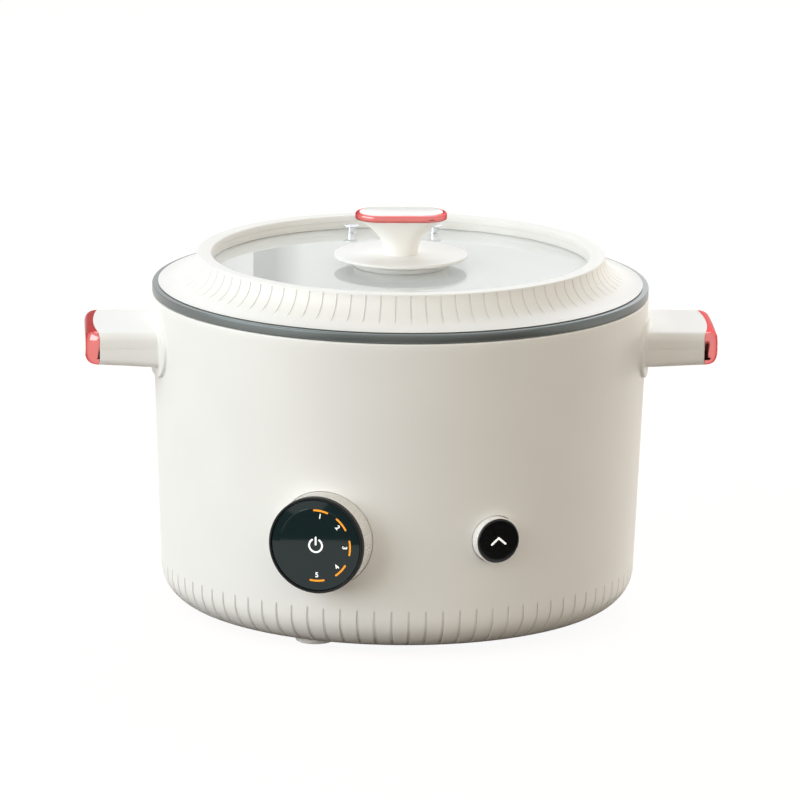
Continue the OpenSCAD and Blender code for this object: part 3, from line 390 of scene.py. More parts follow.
def arc(centre: Point, radius: float, start: float, end: float, steps: int) -> list[Point]:
    """Gives the points of an arc between two angles in degrees, both included."""
    turns = np.radians(np.linspace(start, end, steps + 1))
    return [(centre[0] + radius * cos(a), centre[1] + radius * sin(a)) for a in turns]


def stadium(half_length: float, half_width: float, steps: int = 24) -> np.ndarray:
    """Gives the points of an outline with two straight sides along x and round ends."""
    ends = ((half_length - half_width, -90.0), (half_width - half_length, 90.0))
    return np.array([p for x, start in ends for p in arc((x, 0.0), half_width, start, start + 180.0, steps)])


def stacked(loops: Sequence[np.ndarray], levels: Sequence[float]) -> np.ndarray:
    """Stacks flat loops at levels along z into rows for a skin."""
    return np.stack([np.column_stack([loop, np.full(len(loop), z)]) for loop, z in zip(loops, levels)])


def turned(name: str, profile: Sequence[Point], around: int = 144, ends: Ends = Ends.RING,
           crease: float = CREASE) -> Object:
    """Builds a turned piece about the z axis.

    Args:
        name: Name of the object.
        profile: Radius and height of each point.
        around: Number of segments around.
        ends: How the profile's two ends are treated.
        crease: Angle in degrees above which an edge is sharp.

    Returns:
        The object.
    """
    line = np.asarray(profile, float)
    turns = np.linspace(0.0, FULL, around, endpoint=False)
    rows = np.empty((len(line), around, 3))
    rows[..., 0] = line[:, :1] * np.cos(turns)
    rows[..., 1] = line[:, :1] * np.sin(turns)
    rows[..., 2] = line[:, 1:]
    return skin(name, rows, ends, crease)


def plain(points: Sequence[Point]) -> list[tuple[float, ...]]:
    """Gives a section's rows, as Flutes.skin takes them, for points without grooves."""
    return [(radius, z, 0.0, 0.0, 0.0) for radius, z in points]


@dataclass(frozen=True)
class Flutes:
    """A ring of shallow flat-floored grooves, cut into a turned surface."""

    count: int
    first_deg: float
    pitch_r: float
    land: tuple[float, ...]
    across: tuple[float, ...] = (0.37, 0.74, 1.0)
    floor: float = 0.74

    def skin(self, name: str, section: np.ndarray, half: np.ndarray) -> Object:
        """Builds a turned ring with the grooves in it.

        Args:
            name: Name of the object.
            section: Radius, height, the groove's way in along both, and its depth, at each point.
            half: Half width of the grooves at each point in millimetres.

        Returns:
            The object.
        """
        line, inward, depth = section[:, :2], section[:, 2:4], section[:, 4:]
        inner = np.array([-a for a in reversed(self.across)] + [0.0] + list(self.across))
        outer = np.tile(np.array(self.land, float), (len(line), 1))
        steps = np.concatenate([-outer[:, ::-1], half[:, None] * inner, outer], axis=1)
        bare = np.zeros(len(self.land))
        groove = np.clip((1.0 - np.abs(inner)) / (1.0 - self.floor), 0.0, 1.0)
        share = np.tile(np.concatenate([bare, groove, bare]), self.count)
        middles = radians(self.first_deg) + np.arange(self.count) * FULL / self.count
        turns = (middles[None, :, None] + steps[:, None, :] / self.pitch_r).reshape(len(line), -1)
        sunk = depth * share
        radius = line[:, :1] + sunk * inward[:, :1]
        height = line[:, 1:] + sunk * inward[:, 1:]
        return skin(name, np.stack([radius * np.cos(turns), radius * np.sin(turns), height], axis=-1))


def place(obj: Object, matrix: Matrix) -> Object:
    """Moves a mesh by a matrix, with the object left at the origin."""
    obj.data.transform(matrix)
    return obj


def joined(name: str, parts: Sequence[Object], crease: float = CREASE) -> Object:
    """Joins meshes into one object and removes the parts.

    Args:
        name: Name of the new object.
        parts: Objects whose meshes are joined.
        crease: Angle in degrees above which an edge is sharp.

    Returns:
        The new object.
    """
    form = bmesh.new()
    for part in parts:
        form.from_mesh(part.data)
        bpy.data.objects.remove(part)
    mesh = bpy.data.meshes.new(name)
    form.to_mesh(mesh)
    form.free()
    smooth(mesh, crease)
    return linked(name, mesh)


def cut(obj: Object, cutters: Sequence[Object]) -> None:
    """Cuts holes into a mesh and removes the cutters.

    Args:
        obj: Object whose mesh is cut.
        cutters: Objects with the shapes of the holes.
    """
    for cutter in cutters:
        change = obj.modifiers.new("hole", "BOOLEAN")
        change.operation = "DIFFERENCE"
        change.solver = "EXACT"
        change.object = cutter
    graph = bpy.context.evaluated_depsgraph_get()
    mesh = bpy.data.meshes.new_from_object(obj.evaluated_get(graph))
    obj.modifiers.clear()
    obj.data = mesh
    smooth(mesh, CREASE)
    for cutter in cutters:
        bpy.data.objects.remove(cutter)


def along(outline: np.ndarray, angles: np.ndarray) -> np.ndarray:
    """Finds where rays from the middle cross a closed outline.

    Args:
        outline: Points of the outline, as points by 2.
        angles: Directions of the rays in radians.

    Returns:
        One point for each ray.
    """
    turns = np.mod(np.unwrap(np.arctan2(outline[:, 1], outline[:, 0])), FULL)
    order = np.argsort(turns)
    known = turns[order]
    closed = np.concatenate([known - FULL, known, known + FULL])
    ring = np.tile(outline[order], (3, 1))
    found = []
    for angle in angles:
        k = int(np.searchsorted(closed, angle, side="right"))
        a, b = ring[k - 1], ring[k % len(ring)]
        ray = np.array((cos(angle), sin(angle)))
        edge = b - a
        bottom = ray[0] * edge[1] - ray[1] * edge[0]
        top = a[0] * edge[1] - a[1] * edge[0]
        found.append(ray * (top / bottom if abs(bottom) > 1e-9 else float(np.linalg.norm(a))))
    return np.array(found)


def ribbon(name: str, path: np.ndarray, width: float, low: float, high: float) -> Object:
    """Builds a flat printed stroke with round ends along a path in the xy plane.

    Args:
        name: Name of the object.
        path: Points of the stroke's middle line, as points by 2.
        width: Width of the stroke.
        low: Level of its underside.
        high: Level of its top.

    Returns:
        The object.
    """
    slope = np.gradient(path, axis=0)
    slope /= np.linalg.norm(slope, axis=1, keepdims=True)
    across = np.column_stack([-slope[:, 1], slope[:, 0]])
    loop = []
    for line, side, ahead in ((path, across, slope), (path[::-1], -across[::-1], -slope[::-1])):
        loop += list(line + side * width / 2.0)
        for turn in np.radians(np.linspace(0.0, 180.0, 9))[1:-1]:
            loop.append(line[-1] + (side[-1] * cos(turn) + ahead[-1] * sin(turn)) * width / 2.0)
    return skin(name, stacked([np.array(loop)] * 2, (low, high)), Ends.CAPPED)


def figure(text: str, height: float) -> Object:
    """Builds a number as a thin raised print at the origin.

    Args:
        text: The number.
        height: Height of the figure in millimetres.

    Returns:
        The object.
    """
    curve = bpy.data.curves.new("figure", "FONT")
    curve.body = text
    curve.size = height / FIGURE_SHARE * MM
    curve.extrude = PRINT_SUNK * MM
    curve.offset = FIGURE_BOLD * MM
    curve.align_x = "CENTER"
    curve.align_y = "CENTER"
    shape = linked("figure", curve)
    graph = bpy.context.evaluated_depsgraph_get()
    mesh = bpy.data.meshes.new_from_object(shape.evaluated_get(graph))
    bpy.data.objects.remove(shape)
    bpy.data.curves.remove(curve)
    return linked("figure", mesh)


@dataclass
class Piece:
    """A visual piece with the body it rides on, the nodes it stands for and its finish."""

    obj: Object
    body: str
    nodes: tuple[str, ...]
    finish: Finish

    def fit(self) -> None:
        """Dresses the piece and ties it to the frame."""
        if not self.obj.data.materials:
            self.obj.data.materials.append(self.finish.material())
        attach(self.obj, self.body)
        if self.nodes:
            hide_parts(*self.nodes)
        LOG.info("%s on %s, %d faces", self.obj.name, self.body, len(self.obj.data.polygons))


@dataclass
class Controls:
    """Places of the dial and of the lift button on the front."""

    turn_deg: float = 20.3
    radius: float = 150.312
    height: float = 75.0

    def matrix(self, side: Side) -> Matrix:
        """Gives the frame of the dial at the left or of the button at the right, z outwards."""
        turn = Matrix.Rotation(radians(self.turn_deg * side.value), 4, "Z")
        return turn @ Matrix.Translation(Vector((0.0, -self.radius, self.height)) * MM) @ UPRIGHT


@dataclass
class PowerInlet:
    """Socket block at the back."""

    middle_z: float = 60.0
    mouth_y: float = 164.0
    back_y: float = 140.0
    half_w: float = 20.0
    half_h: float = 15.0
    corner_r: float = 5.0
    socket_w: float = 13.5
    socket_h: float = 10.0
    socket_r: float = 2.2
    depth: float = 20.0
    edge: float = 1.2

    def build(self) -> list[Piece]:
        """Builds the block with its recess.

        Returns:
            The block.
        """
        steps = (
            (self.half_w, self.half_h, self.corner_r, self.back_y),
            (self.half_w, self.half_h, self.corner_r, self.mouth_y - self.edge),
            (self.half_w - 0.35, self.half_h - 0.35, 4.7, self.mouth_y - 0.35),
            (self.half_w - self.edge, self.half_h - self.edge, 4.0, self.mouth_y),
            (self.socket_w + 0.6, self.socket_h + 0.6, 2.6, self.mouth_y),
            (self.socket_w, self.socket_h, self.socket_r, self.mouth_y - 0.6),
            (self.socket_w, self.socket_h, self.socket_r, self.mouth_y - self.depth + 0.02),
        )
        rows = []
        for half_w, half_h, radius, y in steps:
            loop = oblong(half_w, half_h, radius)
            rows.append(np.column_stack([loop[:, 0], np.full(len(loop), y), loop[:, 1] + self.middle_z]))
        return [Piece(skin("inlet_block", np.stack(rows), Ends.CAPPED), "root", ("power_inlet",), SHELL)]


@dataclass
class Housing:
    """White shell of the body with its fluted lower corner."""

    controls: Controls
    inlet: PowerInlet
    top_r: float = 155.3
    top_z: float = 199.7
    top_round: float = 0.9
    draft: float = 0.04
    wall: float = 2.8
    corner_r: float = 22.0
    low_z: float = 5.0
    lip: float = 2.0
    plate_top: float = 7.5
    ledge_top: float = 10.3
    ledge_w: float = 10.0
    flutes: Flutes = Flutes(88, -90.1, 148.0, (1.7, 2.9, 4.2))
    flute_top: float = 30.5
    flute_d: float = 1.2
    flute_half: Point = (1.35, 0.6)
    flute_end_deg: float = 76.0
    dial_hole: float = 30.35
    button_hole: float = 15.0
    plug: float = 20.0
    play: float = 0.1

    def radius(self, z: float) -> float:
        """Gives the outer radius at a height."""
        return self.top_r - self.draft * (self.top_z - z)

    def flute_depth(self, z: float, angle: float) -> float:
        """Gives the depth of a flute.

        Args:
            z: Height on the shell.
            angle: Angle round the lower corner in degrees.

        Returns:
            The depth in millimetres.
        """
        rise = np.clip((self.flute_top - z) / 2.0, 0.0, 1.0)
        fade = np.clip((self.flute_end_deg - angle) / 12.0, 0.0, 1.0)
        return self.flute_d * float(sqrt(rise) * fade)

    def section(self) -> np.ndarray:
        """Draws the shell's section.

        Returns:
            Its rows, as Flutes.skin takes them.
        """
        centre_z = self.low_z + self.corner_r
        centre_r = self.radius(centre_z) - self.corner_r
        outer = self.radius(self.top_z)
        inner = outer - self.wall
        top = [(inner, 190.0), (inner, self.top_z - 0.4), (inner + 0.4, self.top_z)]
        top += arc((outer - self.top_round, self.top_z - self.top_round), self.top_round, 90.0, 0.0, 4)
        levels = [195.0, 155.0, 115.0, 75.0, 45.0] + list(np.arange(32.0, centre_z, -1.0))
        rows = plain(top) + [(self.radius(z), z, -1.0, 0.0, self.flute_depth(z, 0.0)) for z in levels]
        for angle in np.linspace(0.0, 90.0, 27):
            out, down = cos(radians(angle)), sin(radians(angle))
            z = centre_z - self.corner_r * down
            rows.append((centre_r + self.corner_r * out, z, -out, down, self.flute_depth(z, angle)))
        opening = centre_r - self.lip
        inside = [
            (opening, self.low_z), (opening, self.plate_top), (opening - self.ledge_w, self.plate_top),
            (opening - self.ledge_w, self.ledge_top), (centre_r - 4.0, self.ledge_top),
        ]
        inside += arc((centre_r, centre_z), self.corner_r - self.wall, -60.0, 0.0, 6)
        inside += [(self.radius(z) - self.wall, z) for z in (60.0, 75.0, 90.0, 120.0, 150.0)]
        return np.array(rows + plain(inside))

    def cutters(self) -> list[Object]:
        """Makes the bodies that cut the holes of the dial, the button and the inlet.

        Returns:
            The three bodies.
        """
        made = []
        for side, hole, around in ((Side.LEFT, self.dial_hole, 160), (Side.RIGHT, self.button_hole, 120)):
            line = [(0.0, -self.plug), (hole, -self.plug), (hole, self.plug), (0.0, self.plug)]
            made.append(place(turned("cut_round", line, around, Ends.OPEN), self.controls.matrix(side)))
        sizes = (self.inlet.half_w, self.inlet.half_h, self.inlet.corner_r)
        loop = oblong(*[size + self.play for size in sizes])
        inlet = skin("cut_inlet", stacked([loop, loop], (-180.0, -120.0)), Ends.CAPPED)
        return made + [place(inlet, Matrix.Translation((0.0, 0.0, self.inlet.middle_z * MM)) @ UPRIGHT)]

    def build(self) -> list[Piece]:
        """Builds the shell with its flutes and holes.

        Returns:
            The shell.
        """
        section = self.section()
        half = np.interp(section[:, 1], (10.0, self.flute_top), self.flute_half)
        obj = self.flutes.skin("housing_shell", section, half)
        cut(obj, self.cutters())
        return [Piece(obj, "root", ("housing",), SHELL)]


@dataclass
class Feet:
    """Three round rubber feet under the base."""

    radius: float = 12.0
    height: float = 5.0
    round_r: float = 1.3
    hollow: float = 0.6
    place_r: float = 110.99
    count: int = 3

    def build(self) -> list[Piece]:
        """Builds the feet as one piece.

        Returns:
            The feet.
        """
        line = [(0.0, self.hollow), (self.radius - 4.0, self.hollow), (self.radius - 3.4, 0.0)]
        line += arc((self.radius - self.round_r, self.round_r), self.round_r, -90.0, 0.0, 5)
        line += [(self.radius, self.height - 0.02), (0.0, self.height - 0.02)]
        parts = []
        for i in range(self.count):
            angle = FULL * i / self.count
            spot = Vector((cos(angle), sin(angle), 0.0)) * self.place_r * MM
            parts.append(place(turned("foot", line, 72, Ends.OPEN), Matrix.Translation(spot)))
        return [Piece(joined("rubber_feet", parts), "root", ("feet",), RUBBER)]


@dataclass(frozen=True)
class Parting:
    """Levels where a handle's section is cut off, or None where it keeps its full form."""

    low: float | None = None
    high: float | None = None


@dataclass
class Handle:
    """A side handle: upper shell with an oval boss, lower cover, coral band and white end cap."""

    side: Side
    housing: Housing
    reach: float = 197.5
    root_w: float = 37.5
    root_low: float = 11.5
    root_high: float = 11.2
    half_w: float = 37.0
    half_low: float = 10.0
    half_high: float = 11.0
    middle_z: float = 170.0
    parting_z: float = 171.0
    parting_gap: float = 0.04
    corner_r: float = 13.0
    end_r: float = 9.0
    end_x: float = 7.7
    edge_r: float = 5.0
    cut_r: float = 0.12
    side_power: float = 1.2
    drop_power: float = 1.8
    bow: float = 0.9
    band_x: float = 188.012
    cap_deg: float = 70.0
    boss_y: float = 47.0
    boss_z: float = 18.5
    boss_out: float = 2.0
    boss_in: float = 0.8
    boss_edge: float = 0.25
    boss_fillet: float = 0.7
    root_r: float = 152.6
    crease: float = 40.0

    def loop(self, half_w: float, span: Point, parting: Parting, inset: float) -> np.ndarray:
        """Draws a section of the handle, cut off at a parting where one is given.

        Args:
            half_w: Half its width along y.
            span: How far it goes below and above the middle.
            parting: Where it is cut off.
            inset: How far a parting is drawn in.

        Returns:
            Points with y, z and the share that turns from 0 at the sides to 1 on top and below.
        """
        low, high = self.middle_z - span[0], self.middle_z + span[1]
        low_r = high_r = min(self.edge_r, sum(span) * 0.49)
        if parting.low is not None:
            low, low_r = parting.low + inset, self.cut_r
        if parting.high is not None:
            high, high_r = parting.high - inset, self.cut_r
        points = []
        spans = ((half_w, high, high_r, 0.0), (-half_w, high, high_r, 90.0),
                 (-half_w, low, low_r, 180.0), (half_w, low, low_r, 270.0))
        for y, z, radius, start in spans:
            centre_y = y - copysign(radius, y)
            centre_z = z - radius if start < 180.0 else z + radius
            for turn in np.radians(np.linspace(start, start + 90.0, 9)):
                points.append((centre_y + radius * cos(turn), centre_z + radius * sin(turn), sin(turn) ** 2))
            if start in (0.0, 180.0):
                points += [(centre_y * (1.0 - 2.0 * t), z, 1.0) for t in np.linspace(0.0, 1.0, 14)[1:-1]]
        return np.array(points)

    def section(self, phi: float, parting: Parting = Parting(), inset: float = 0.0) -> np.ndarray:
        """Draws a section of the nose, which bows forward across its top.

        Args:
            phi: Angle round the nose in degrees, 0 where it starts to round.
            parting: Where it is cut off.
            inset: How far the section is drawn in all round.

        Returns:
            Points with x, y and z, on the right side.
        """
        turn = radians(phi)
        half_w = self.half_w - self.corner_r * (1.0 - cos(turn)) ** self.side_power - inset
        drop = self.end_r * (1.0 - cos(turn)) ** self.drop_power + inset
        flat = self.loop(half_w, (self.half_low - drop, self.half_high - drop), parting, inset)
        side_x = self.reach - self.corner_r * (1.0 - sin(turn))
        top_x = self.reach - self.end_x * (1.0 - sin(turn))
        bow = 1.0 - self.bow * (flat[:, 0] / self.half_w) ** 2
        x = side_x + (top_x - side_x) * flat[:, 2] * bow
        return np.column_stack([x, flat[:, :2]])

    def trunk(self, x: float, parting: Parting) -> np.ndarray:
        """Draws a section of the tapered part between the housing and the nose.

        Args:
            x: Its place, or 0 for the root on the housing.
            parting: Where it is cut off.

        Returns:
            Points with x, y and z, on the right side.
        """
        share = max(x - self.root_r, 0.0) / (self.reach - self.corner_r - self.root_r)
        half_w = self.root_w + (self.half_w - self.root_w) * share
        below = self.root_low + (self.half_low - self.root_low) * share
        above = self.root_high + (self.half_high - self.root_high) * share
        flat = self.loop(half_w, (below, above), parting, 0.0)
        run = np.sqrt(self.root_r ** 2 - flat[:, 0] ** 2) if x == 0.0 else np.full(len(flat), x)
        return np.column_stack([run, flat[:, :2]])

    def band_phi(self) -> float:
        """Gives the angle round the nose at which the band starts."""
        return degrees(asin((self.band_x - self.reach + self.corner_r) / self.corner_r))

    def shell(self, name: str, parting: Parting) -> Object:
        """Builds the upper or the lower shell from the housing to the band.

        Args:
            name: Name of the object.
            parting: Where it is cut off.

        Returns:
            The object, on the right side.
        """
        end = self.band_phi()
        rows = [self.trunk(x, parting) for x in (0.0, 160.0, 168.0, 176.0)]
        rows += [self.section(phi, parting) for phi in np.linspace(0.0, end - 0.6, 6)]
        rows.append(self.section(end - 0.2, parting, 0.3))
        return skin(name, np.stack(rows), Ends.CAPPED, self.crease)

    def boss(self) -> Object:
        """Builds the oval boss on the housing round the handle's root.

        Returns:
            The object, on the right side.
        """
        angles = np.linspace(0.0, FULL, 160, endpoint=False)
        ring_out = along(stadium(self.boss_y, self.boss_z, 30), angles)
        root = self.loop(self.root_w, (self.root_low, self.root_high), Parting(), 0.0)
        ring_in = along(root[:, :2] - (0.0, self.middle_z), angles)
        wide = ring_in * (1.0 + self.boss_fillet / np.linalg.norm(ring_in, axis=1, keepdims=True))
        start = ring_out * (1.0 - self.boss_edge / self.boss_z)
        slack = 0.3 * self.boss_edge
        rows = [(ring_out, -self.boss_in), (ring_out, self.boss_out - self.boss_edge)]
        rows += [(ring_out * (1.0 - slack / self.boss_z), self.boss_out - slack)]
        rows += [(start + (wide - start) * t, self.boss_out) for t in (0.0, 0.35, 0.7, 1.0)]
        for turn in np.radians((30.0, 60.0, 90.0)):
            rise = self.boss_fillet * (1.0 - cos(turn))
            rows.append((wide + (ring_in - wide) * sin(turn), self.boss_out + rise))
        rows += [(ring_in * 0.97, out) for out in (self.boss_out + self.boss_fillet, -self.boss_in)]
        stack = []
        for flat, out in rows:
            z = flat[:, 1] + self.middle_z
            radius = np.array([self.housing.radius(level) for level in z]) + out
            stack.append(np.column_stack([np.sqrt(radius ** 2 - flat[:, 0] ** 2), flat[:, 0], z]))
        return skin("boss", np.stack(stack), Ends.RING, self.crease)

    def build(self) -> list[Piece]:
        """Builds the handle's four pieces.

        Returns:
            The upper shell, the lower cover, the band and the cap.
        """
        name = f"handle_{self.side.name.lower()}"
        start = self.band_phi()
        upper = self.shell("upper", Parting(low=self.parting_z + self.parting_gap))
        lower = self.shell(f"{name}_lower", Parting(high=self.parting_z - self.parting_gap))
        top = joined(f"{name}_upper", [upper, self.boss()], self.crease)
        band_rows = [self.section(start, inset=0.3)]
        band_rows += [self.section(phi) for phi in np.linspace(start + 0.6, self.cap_deg - 1.0, 18)]
        band_rows.append(self.section(self.cap_deg, inset=0.15))
        band = skin(f"{name}_chrome", np.stack(band_rows), Ends.CAPPED, self.crease)
        cap_rows = [self.section(self.cap_deg, inset=0.3)]
        cap_rows += [self.section(phi, inset=0.1) for phi in np.linspace(self.cap_deg + 1.0, 90.0, 7)]
        cap = skin(f"{name}_end", np.stack(cap_rows), Ends.CAPPED, self.crease)
        if self.side is Side.LEFT:
            for obj in (top, lower, band, cap):
                place(obj, Matrix.Rotation(pi, 4, "Z"))
        return [
            Piece(top, "root", (name,), SHELL), Piece(lower, "root", (f"{name}_cover",), SHELL),
            Piece(band, "root", (f"{name}_band",), CORAL), Piece(cap, "root", (f"{name}_cap",), GLOSS),
        ]


@dataclass
class Pot:
    """Removable pot with a grey flange and a pale inside."""

    inner_r: float = 140.0
    wall: float = 2.2
    floor_z: float = 106.0
    corner_r: float = 12.0
    rim_r: float = 155.0
    rim_low: float = 200.0
    rim_top: float = 205.65
    rim_round: float = 1.0
    column_in: float = 11.0
    column_top: float = 146.0
    column_round: float = 0.8
    column_foot: float = 2.0
    around: int = 180

    def line(self) -> list[Point]:
        """Draws the pot's section, from the column over the floor and the rim to the outside.

        Returns:
            Radius and height of each point.
        """
        column = self.column_in + self.wall
        head, foot, rim = self.column_round, self.column_foot, self.rim_round
        corner = (self.inner_r - self.corner_r, self.floor_z + self.corner_r)
        hull = self.inner_r + self.wall
        line = [(self.column_in, self.floor_z - self.wall), (self.column_in, self.column_top - 0.5)]
        line += [(self.column_in + 0.5, self.column_top)]
        line += arc((column - head, self.column_top - head), head, 90.0, 0.0, 4)
        line += arc((column + foot, self.floor_z + foot), foot, 180.0, 270.0, 5)
        line += [(60.0, self.floor_z), (100.0, self.floor_z)]
        line += arc(corner, self.corner_r, -90.0, 0.0, 12)
        line += [(self.inner_r, z) for z in (140.0, 170.0, 195.0)]
        line += arc((self.inner_r + rim, self.rim_top - rim), rim, 180.0, 90.0, 6)
        line += arc((self.rim_r - rim, self.rim_top - rim), rim, 90.0, 0.0, 8)
        line += arc((self.rim_r - 1.0, self.rim_low + 1.0), 1.0, 0.0, -90.0, 4)
        line += [(hull + 1.0, self.rim_low), (hull, self.rim_low - 1.0)]
        return line + arc(corner, self.corner_r + self.wall, 0.0, -90.0, 12)

    def build(self) -> list[Piece]:
        """Builds the pot, with one material inside and one on the flange and outside.

        Returns:
            The pot.
        """
        obj = turned("cooking_pot", self.line(), self.around)
        obj.data.materials.append(POT_INSIDE.material())
        obj.data.materials.append(RIM.material())
        for face in obj.data.polygons:
            x, y, z = face.center / MM
            pale = hypot(x, y) < self.inner_r + 0.3 and self.floor_z - 0.3 < z < self.rim_top - 1.5
            face.material_index = 0 if pale else 1
        return [Piece(obj, "pot", ("inner_pot",), RIM)]


@dataclass
class Lid:
    """Lift-off lid: fluted frame and two steam vents."""

    seat_z: float = 205.95
    outer_r: float = 151.3
    edge_z: float = 206.35
    lip: float = 0.3
    ring_r: float = 127.4
    window_r: float = 118.3
    top_z: float = 224.7
    round_out: float = 0.9
    round_in: float = 1.0
    pocket_r: float = 125.5
    pocket_z: float = 220.8
    skirt_r: float = 129.0
    skirt_z: float = 202.35
    skirt_edge: float = 0.4
    flutes: Flutes = Flutes(88, -90.0, 134.0, (1.1, 2.3, 3.6))
    flute_d: float = 0.75
    flute_half: float = 0.62
    flute_end_deg: float = 59.0
    vent_x: float = 26.5
    vent_y: float = 100.0
    vent_tube: tuple[Point, ...] = (
        (1.0, 211.0), (2.2, 211.0), (2.2, 216.52), (2.75, 216.52), (2.75, 216.8), (2.45, 217.0),
        (2.45, 220.6), (2.7, 220.9),
    )
    vent_mouth: tuple[Point, ...] = ((1.3, 221.8), (1.0, 221.4))

    def flute_depth(self, angle: float) -> float:
        """Gives the depth of a flute.

        Args:
            angle: Angle down the sweep from its top in degrees.

        Returns:
            The depth in millimetres.
        """
        rise = np.clip(angle / 3.0, 0.0, 1.0)
        fade = np.clip((self.flute_end_deg - angle) / 13.0, 0.0, 1.0)
        return self.flute_d * float(rise * fade)

    def frame(self) -> Object:
        """Builds the frame with the flutes in its hollow sweep.

        Returns:
            The object.
        """
        cove_top = self.top_z - self.round_out
        wide, tall = self.outer_r - self.ring_r, cove_top - self.edge_z
        rows = plain([(self.outer_r - self.lip, self.seat_z), (self.outer_r, self.seat_z + self.lip)])
        for angle in np.linspace(0.0, 90.0, 37):
            in_r, up = sin(radians(angle)), cos(radians(angle))
            normal = np.array((in_r / wide, up / tall))
            inward = -normal / np.linalg.norm(normal)
            point = (self.outer_r - wide * in_r, cove_top - tall * up)
            rows.append((*point, *inward, self.flute_depth(90.0 - angle)))
        edge = self.skirt_edge
        rest = arc((self.ring_r - self.round_out, cove_top), self.round_out, 0.0, 90.0, 6)
        inner = (self.window_r + self.round_in, self.top_z - self.round_in)
        rest += arc(inner, self.round_in, 90.0, 180.0, 5)
        rest += [(self.window_r, self.pocket_z), (self.pocket_r, self.pocket_z)]
        rest += [(self.pocket_r, self.skirt_z + edge), (self.pocket_r + edge, self.skirt_z)]
        rest += [(self.skirt_r - edge, self.skirt_z), (self.skirt_r, self.skirt_z + edge)]
        section = np.array(rows + plain(rest + [(self.skirt_r, self.seat_z)]))
        return self.flutes.skin("lid_ring", section, np.full(len(section), self.flute_half))

    def vents(self) -> Object:
        """Builds the two turned vents.

        Returns:
            The vents as one object.
        """
        line = list(self.vent_tube) + arc((4.7, 221.1), 0.2, -90.0, 0.0, 3)
        line += arc((4.4, 221.3), 0.5, 0.0, 90.0, 4) + list(self.vent_mouth)
        spots = [Vector((sign * self.vent_x, self.vent_y, 0.0)) * MM for sign in (-1.0, 1.0)]
        parts = [place(turned("vent", line, 48), Matrix.Translation(spot)) for spot in spots]
        return joined("chrome_vents", parts)

    def build(self) -> list[Piece]:
        """Builds the frame and the vents."""
        frame = Piece(self.frame(), "lid", ("lid_frame",), LID)
        return [frame, Piece(self.vents(), "lid", ("steam_vents",), CHROME)]


@dataclass
class Knob:
    """Knob of the lid: base with neck and disc, flared grip, coral band and white cap."""

    glass_z: float = 216.5
    neck_r: float = 29.5
    seam_up: float = 2.6
    disc_low: float = 222.3
    disc_r: float = 41.6
    disc_top: float = 224.2
    foot_r: float = 10.9
    foot_round: float = 0.5
    grip_top: float = 246.4
    flare: float = 2.4
    half_l: float = 28.35
    half_w: float = 15.7
    band_l: float = 28.65
    band_w: float = 16.0
    band_top: float = 250.6
    band_t: float = 2.4
    cap_low: float = 246.5
    cap_top: float = 251.0

    def base(self) -> Object:
        """Builds the neck, with its seam, and the disc.

        Returns:
            The object.
        """
        seam = self.glass_z + self.seam_up
        line = [(0.0, self.glass_z), (self.neck_r - 0.5, self.glass_z), (self.neck_r, self.glass_z + 0.5)]
        line += [(self.neck_r, seam), (self.neck_r - 0.4, seam + 0.2), (self.neck_r, seam + 0.4)]
        line += arc((self.neck_r + 1.0, self.disc_low - 1.0), 1.0, 180.0, 90.0, 5)
        line += arc((self.disc_r - 0.5, self.disc_low + 0.5), 0.5, -90.0, 0.0, 4)
        line += arc((self.disc_r - 0.45, self.disc_top - 0.45), 0.45, 0.0, 90.0, 5)
        return turned("knob_foot", line + [(0.0, self.disc_top)], ends=Ends.OPEN)

    def grip(self) -> Object:
        """Builds the flared grip, round below and oblong on top.

        Returns:
            The object.
        """
        loops, levels = [], []
        tall = self.grip_top - self.disc_top
        for turn in np.radians(np.linspace(0.0, 90.0, 5))[:-1]:
            radius = self.foot_r + self.foot_round * (1.0 - sin(turn))
            loops.append(stadium(radius + MM, radius))
            levels.append(self.disc_top + self.foot_round * (1.0 - cos(turn)))
        for t in np.linspace(self.foot_round / tall, 1.0, 34):
            length = self.foot_r + (self.half_l - self.foot_r) * t ** self.flare
            width = self.foot_r + (self.half_w - self.foot_r) * t ** self.flare
            loops.append(stadium(length + MM, width))
            levels.append(self.disc_top + tall * t)
        return skin("knob_stem", stacked(loops, levels), Ends.CAPPED)

    def swept(self, name: str, section: Sequence[Point], ends: Ends) -> Object:
        """Sweeps a section, of distances in from the band's outside and heights, round the knob."""
        loops = [stadium(self.band_l - d, self.band_w - d) for d, _ in section]
        return skin(name, stacked(loops, [z for _, z in section]), ends)

    def build(self) -> list[Piece]:
        """Builds the knob's four pieces.

        Returns:
            The base, the grip, the band and the cap.
        """
        base, grip = self.base(), self.grip()
        low, edge = self.grip_top + 0.02, self.band_t + 0.08
        corners = ((0.0, low, 0.5), (self.band_t, low, 0.1), (self.band_t, self.band_top, 0.7),
                   (0.0, self.band_top, 1.5))
        band = self.swept("knob_chrome", fillet(corners, 6), Ends.RING)
        steps = ((edge, self.cap_low), (edge, self.cap_top - 0.8), (edge + 0.25, self.cap_top - 0.25),
                 (edge + 0.8, self.cap_top))
        cap = self.swept("knob_lid", steps, Ends.CAPPED)
        return [
            Piece(base, "lid", ("knob_base",), KNOB), Piece(grip, "lid", ("knob_grip",), KNOB),
            Piece(band, "lid", ("knob_band",), CORAL), Piece(cap, "lid", ("knob_cap",), GLOSS),
        ]


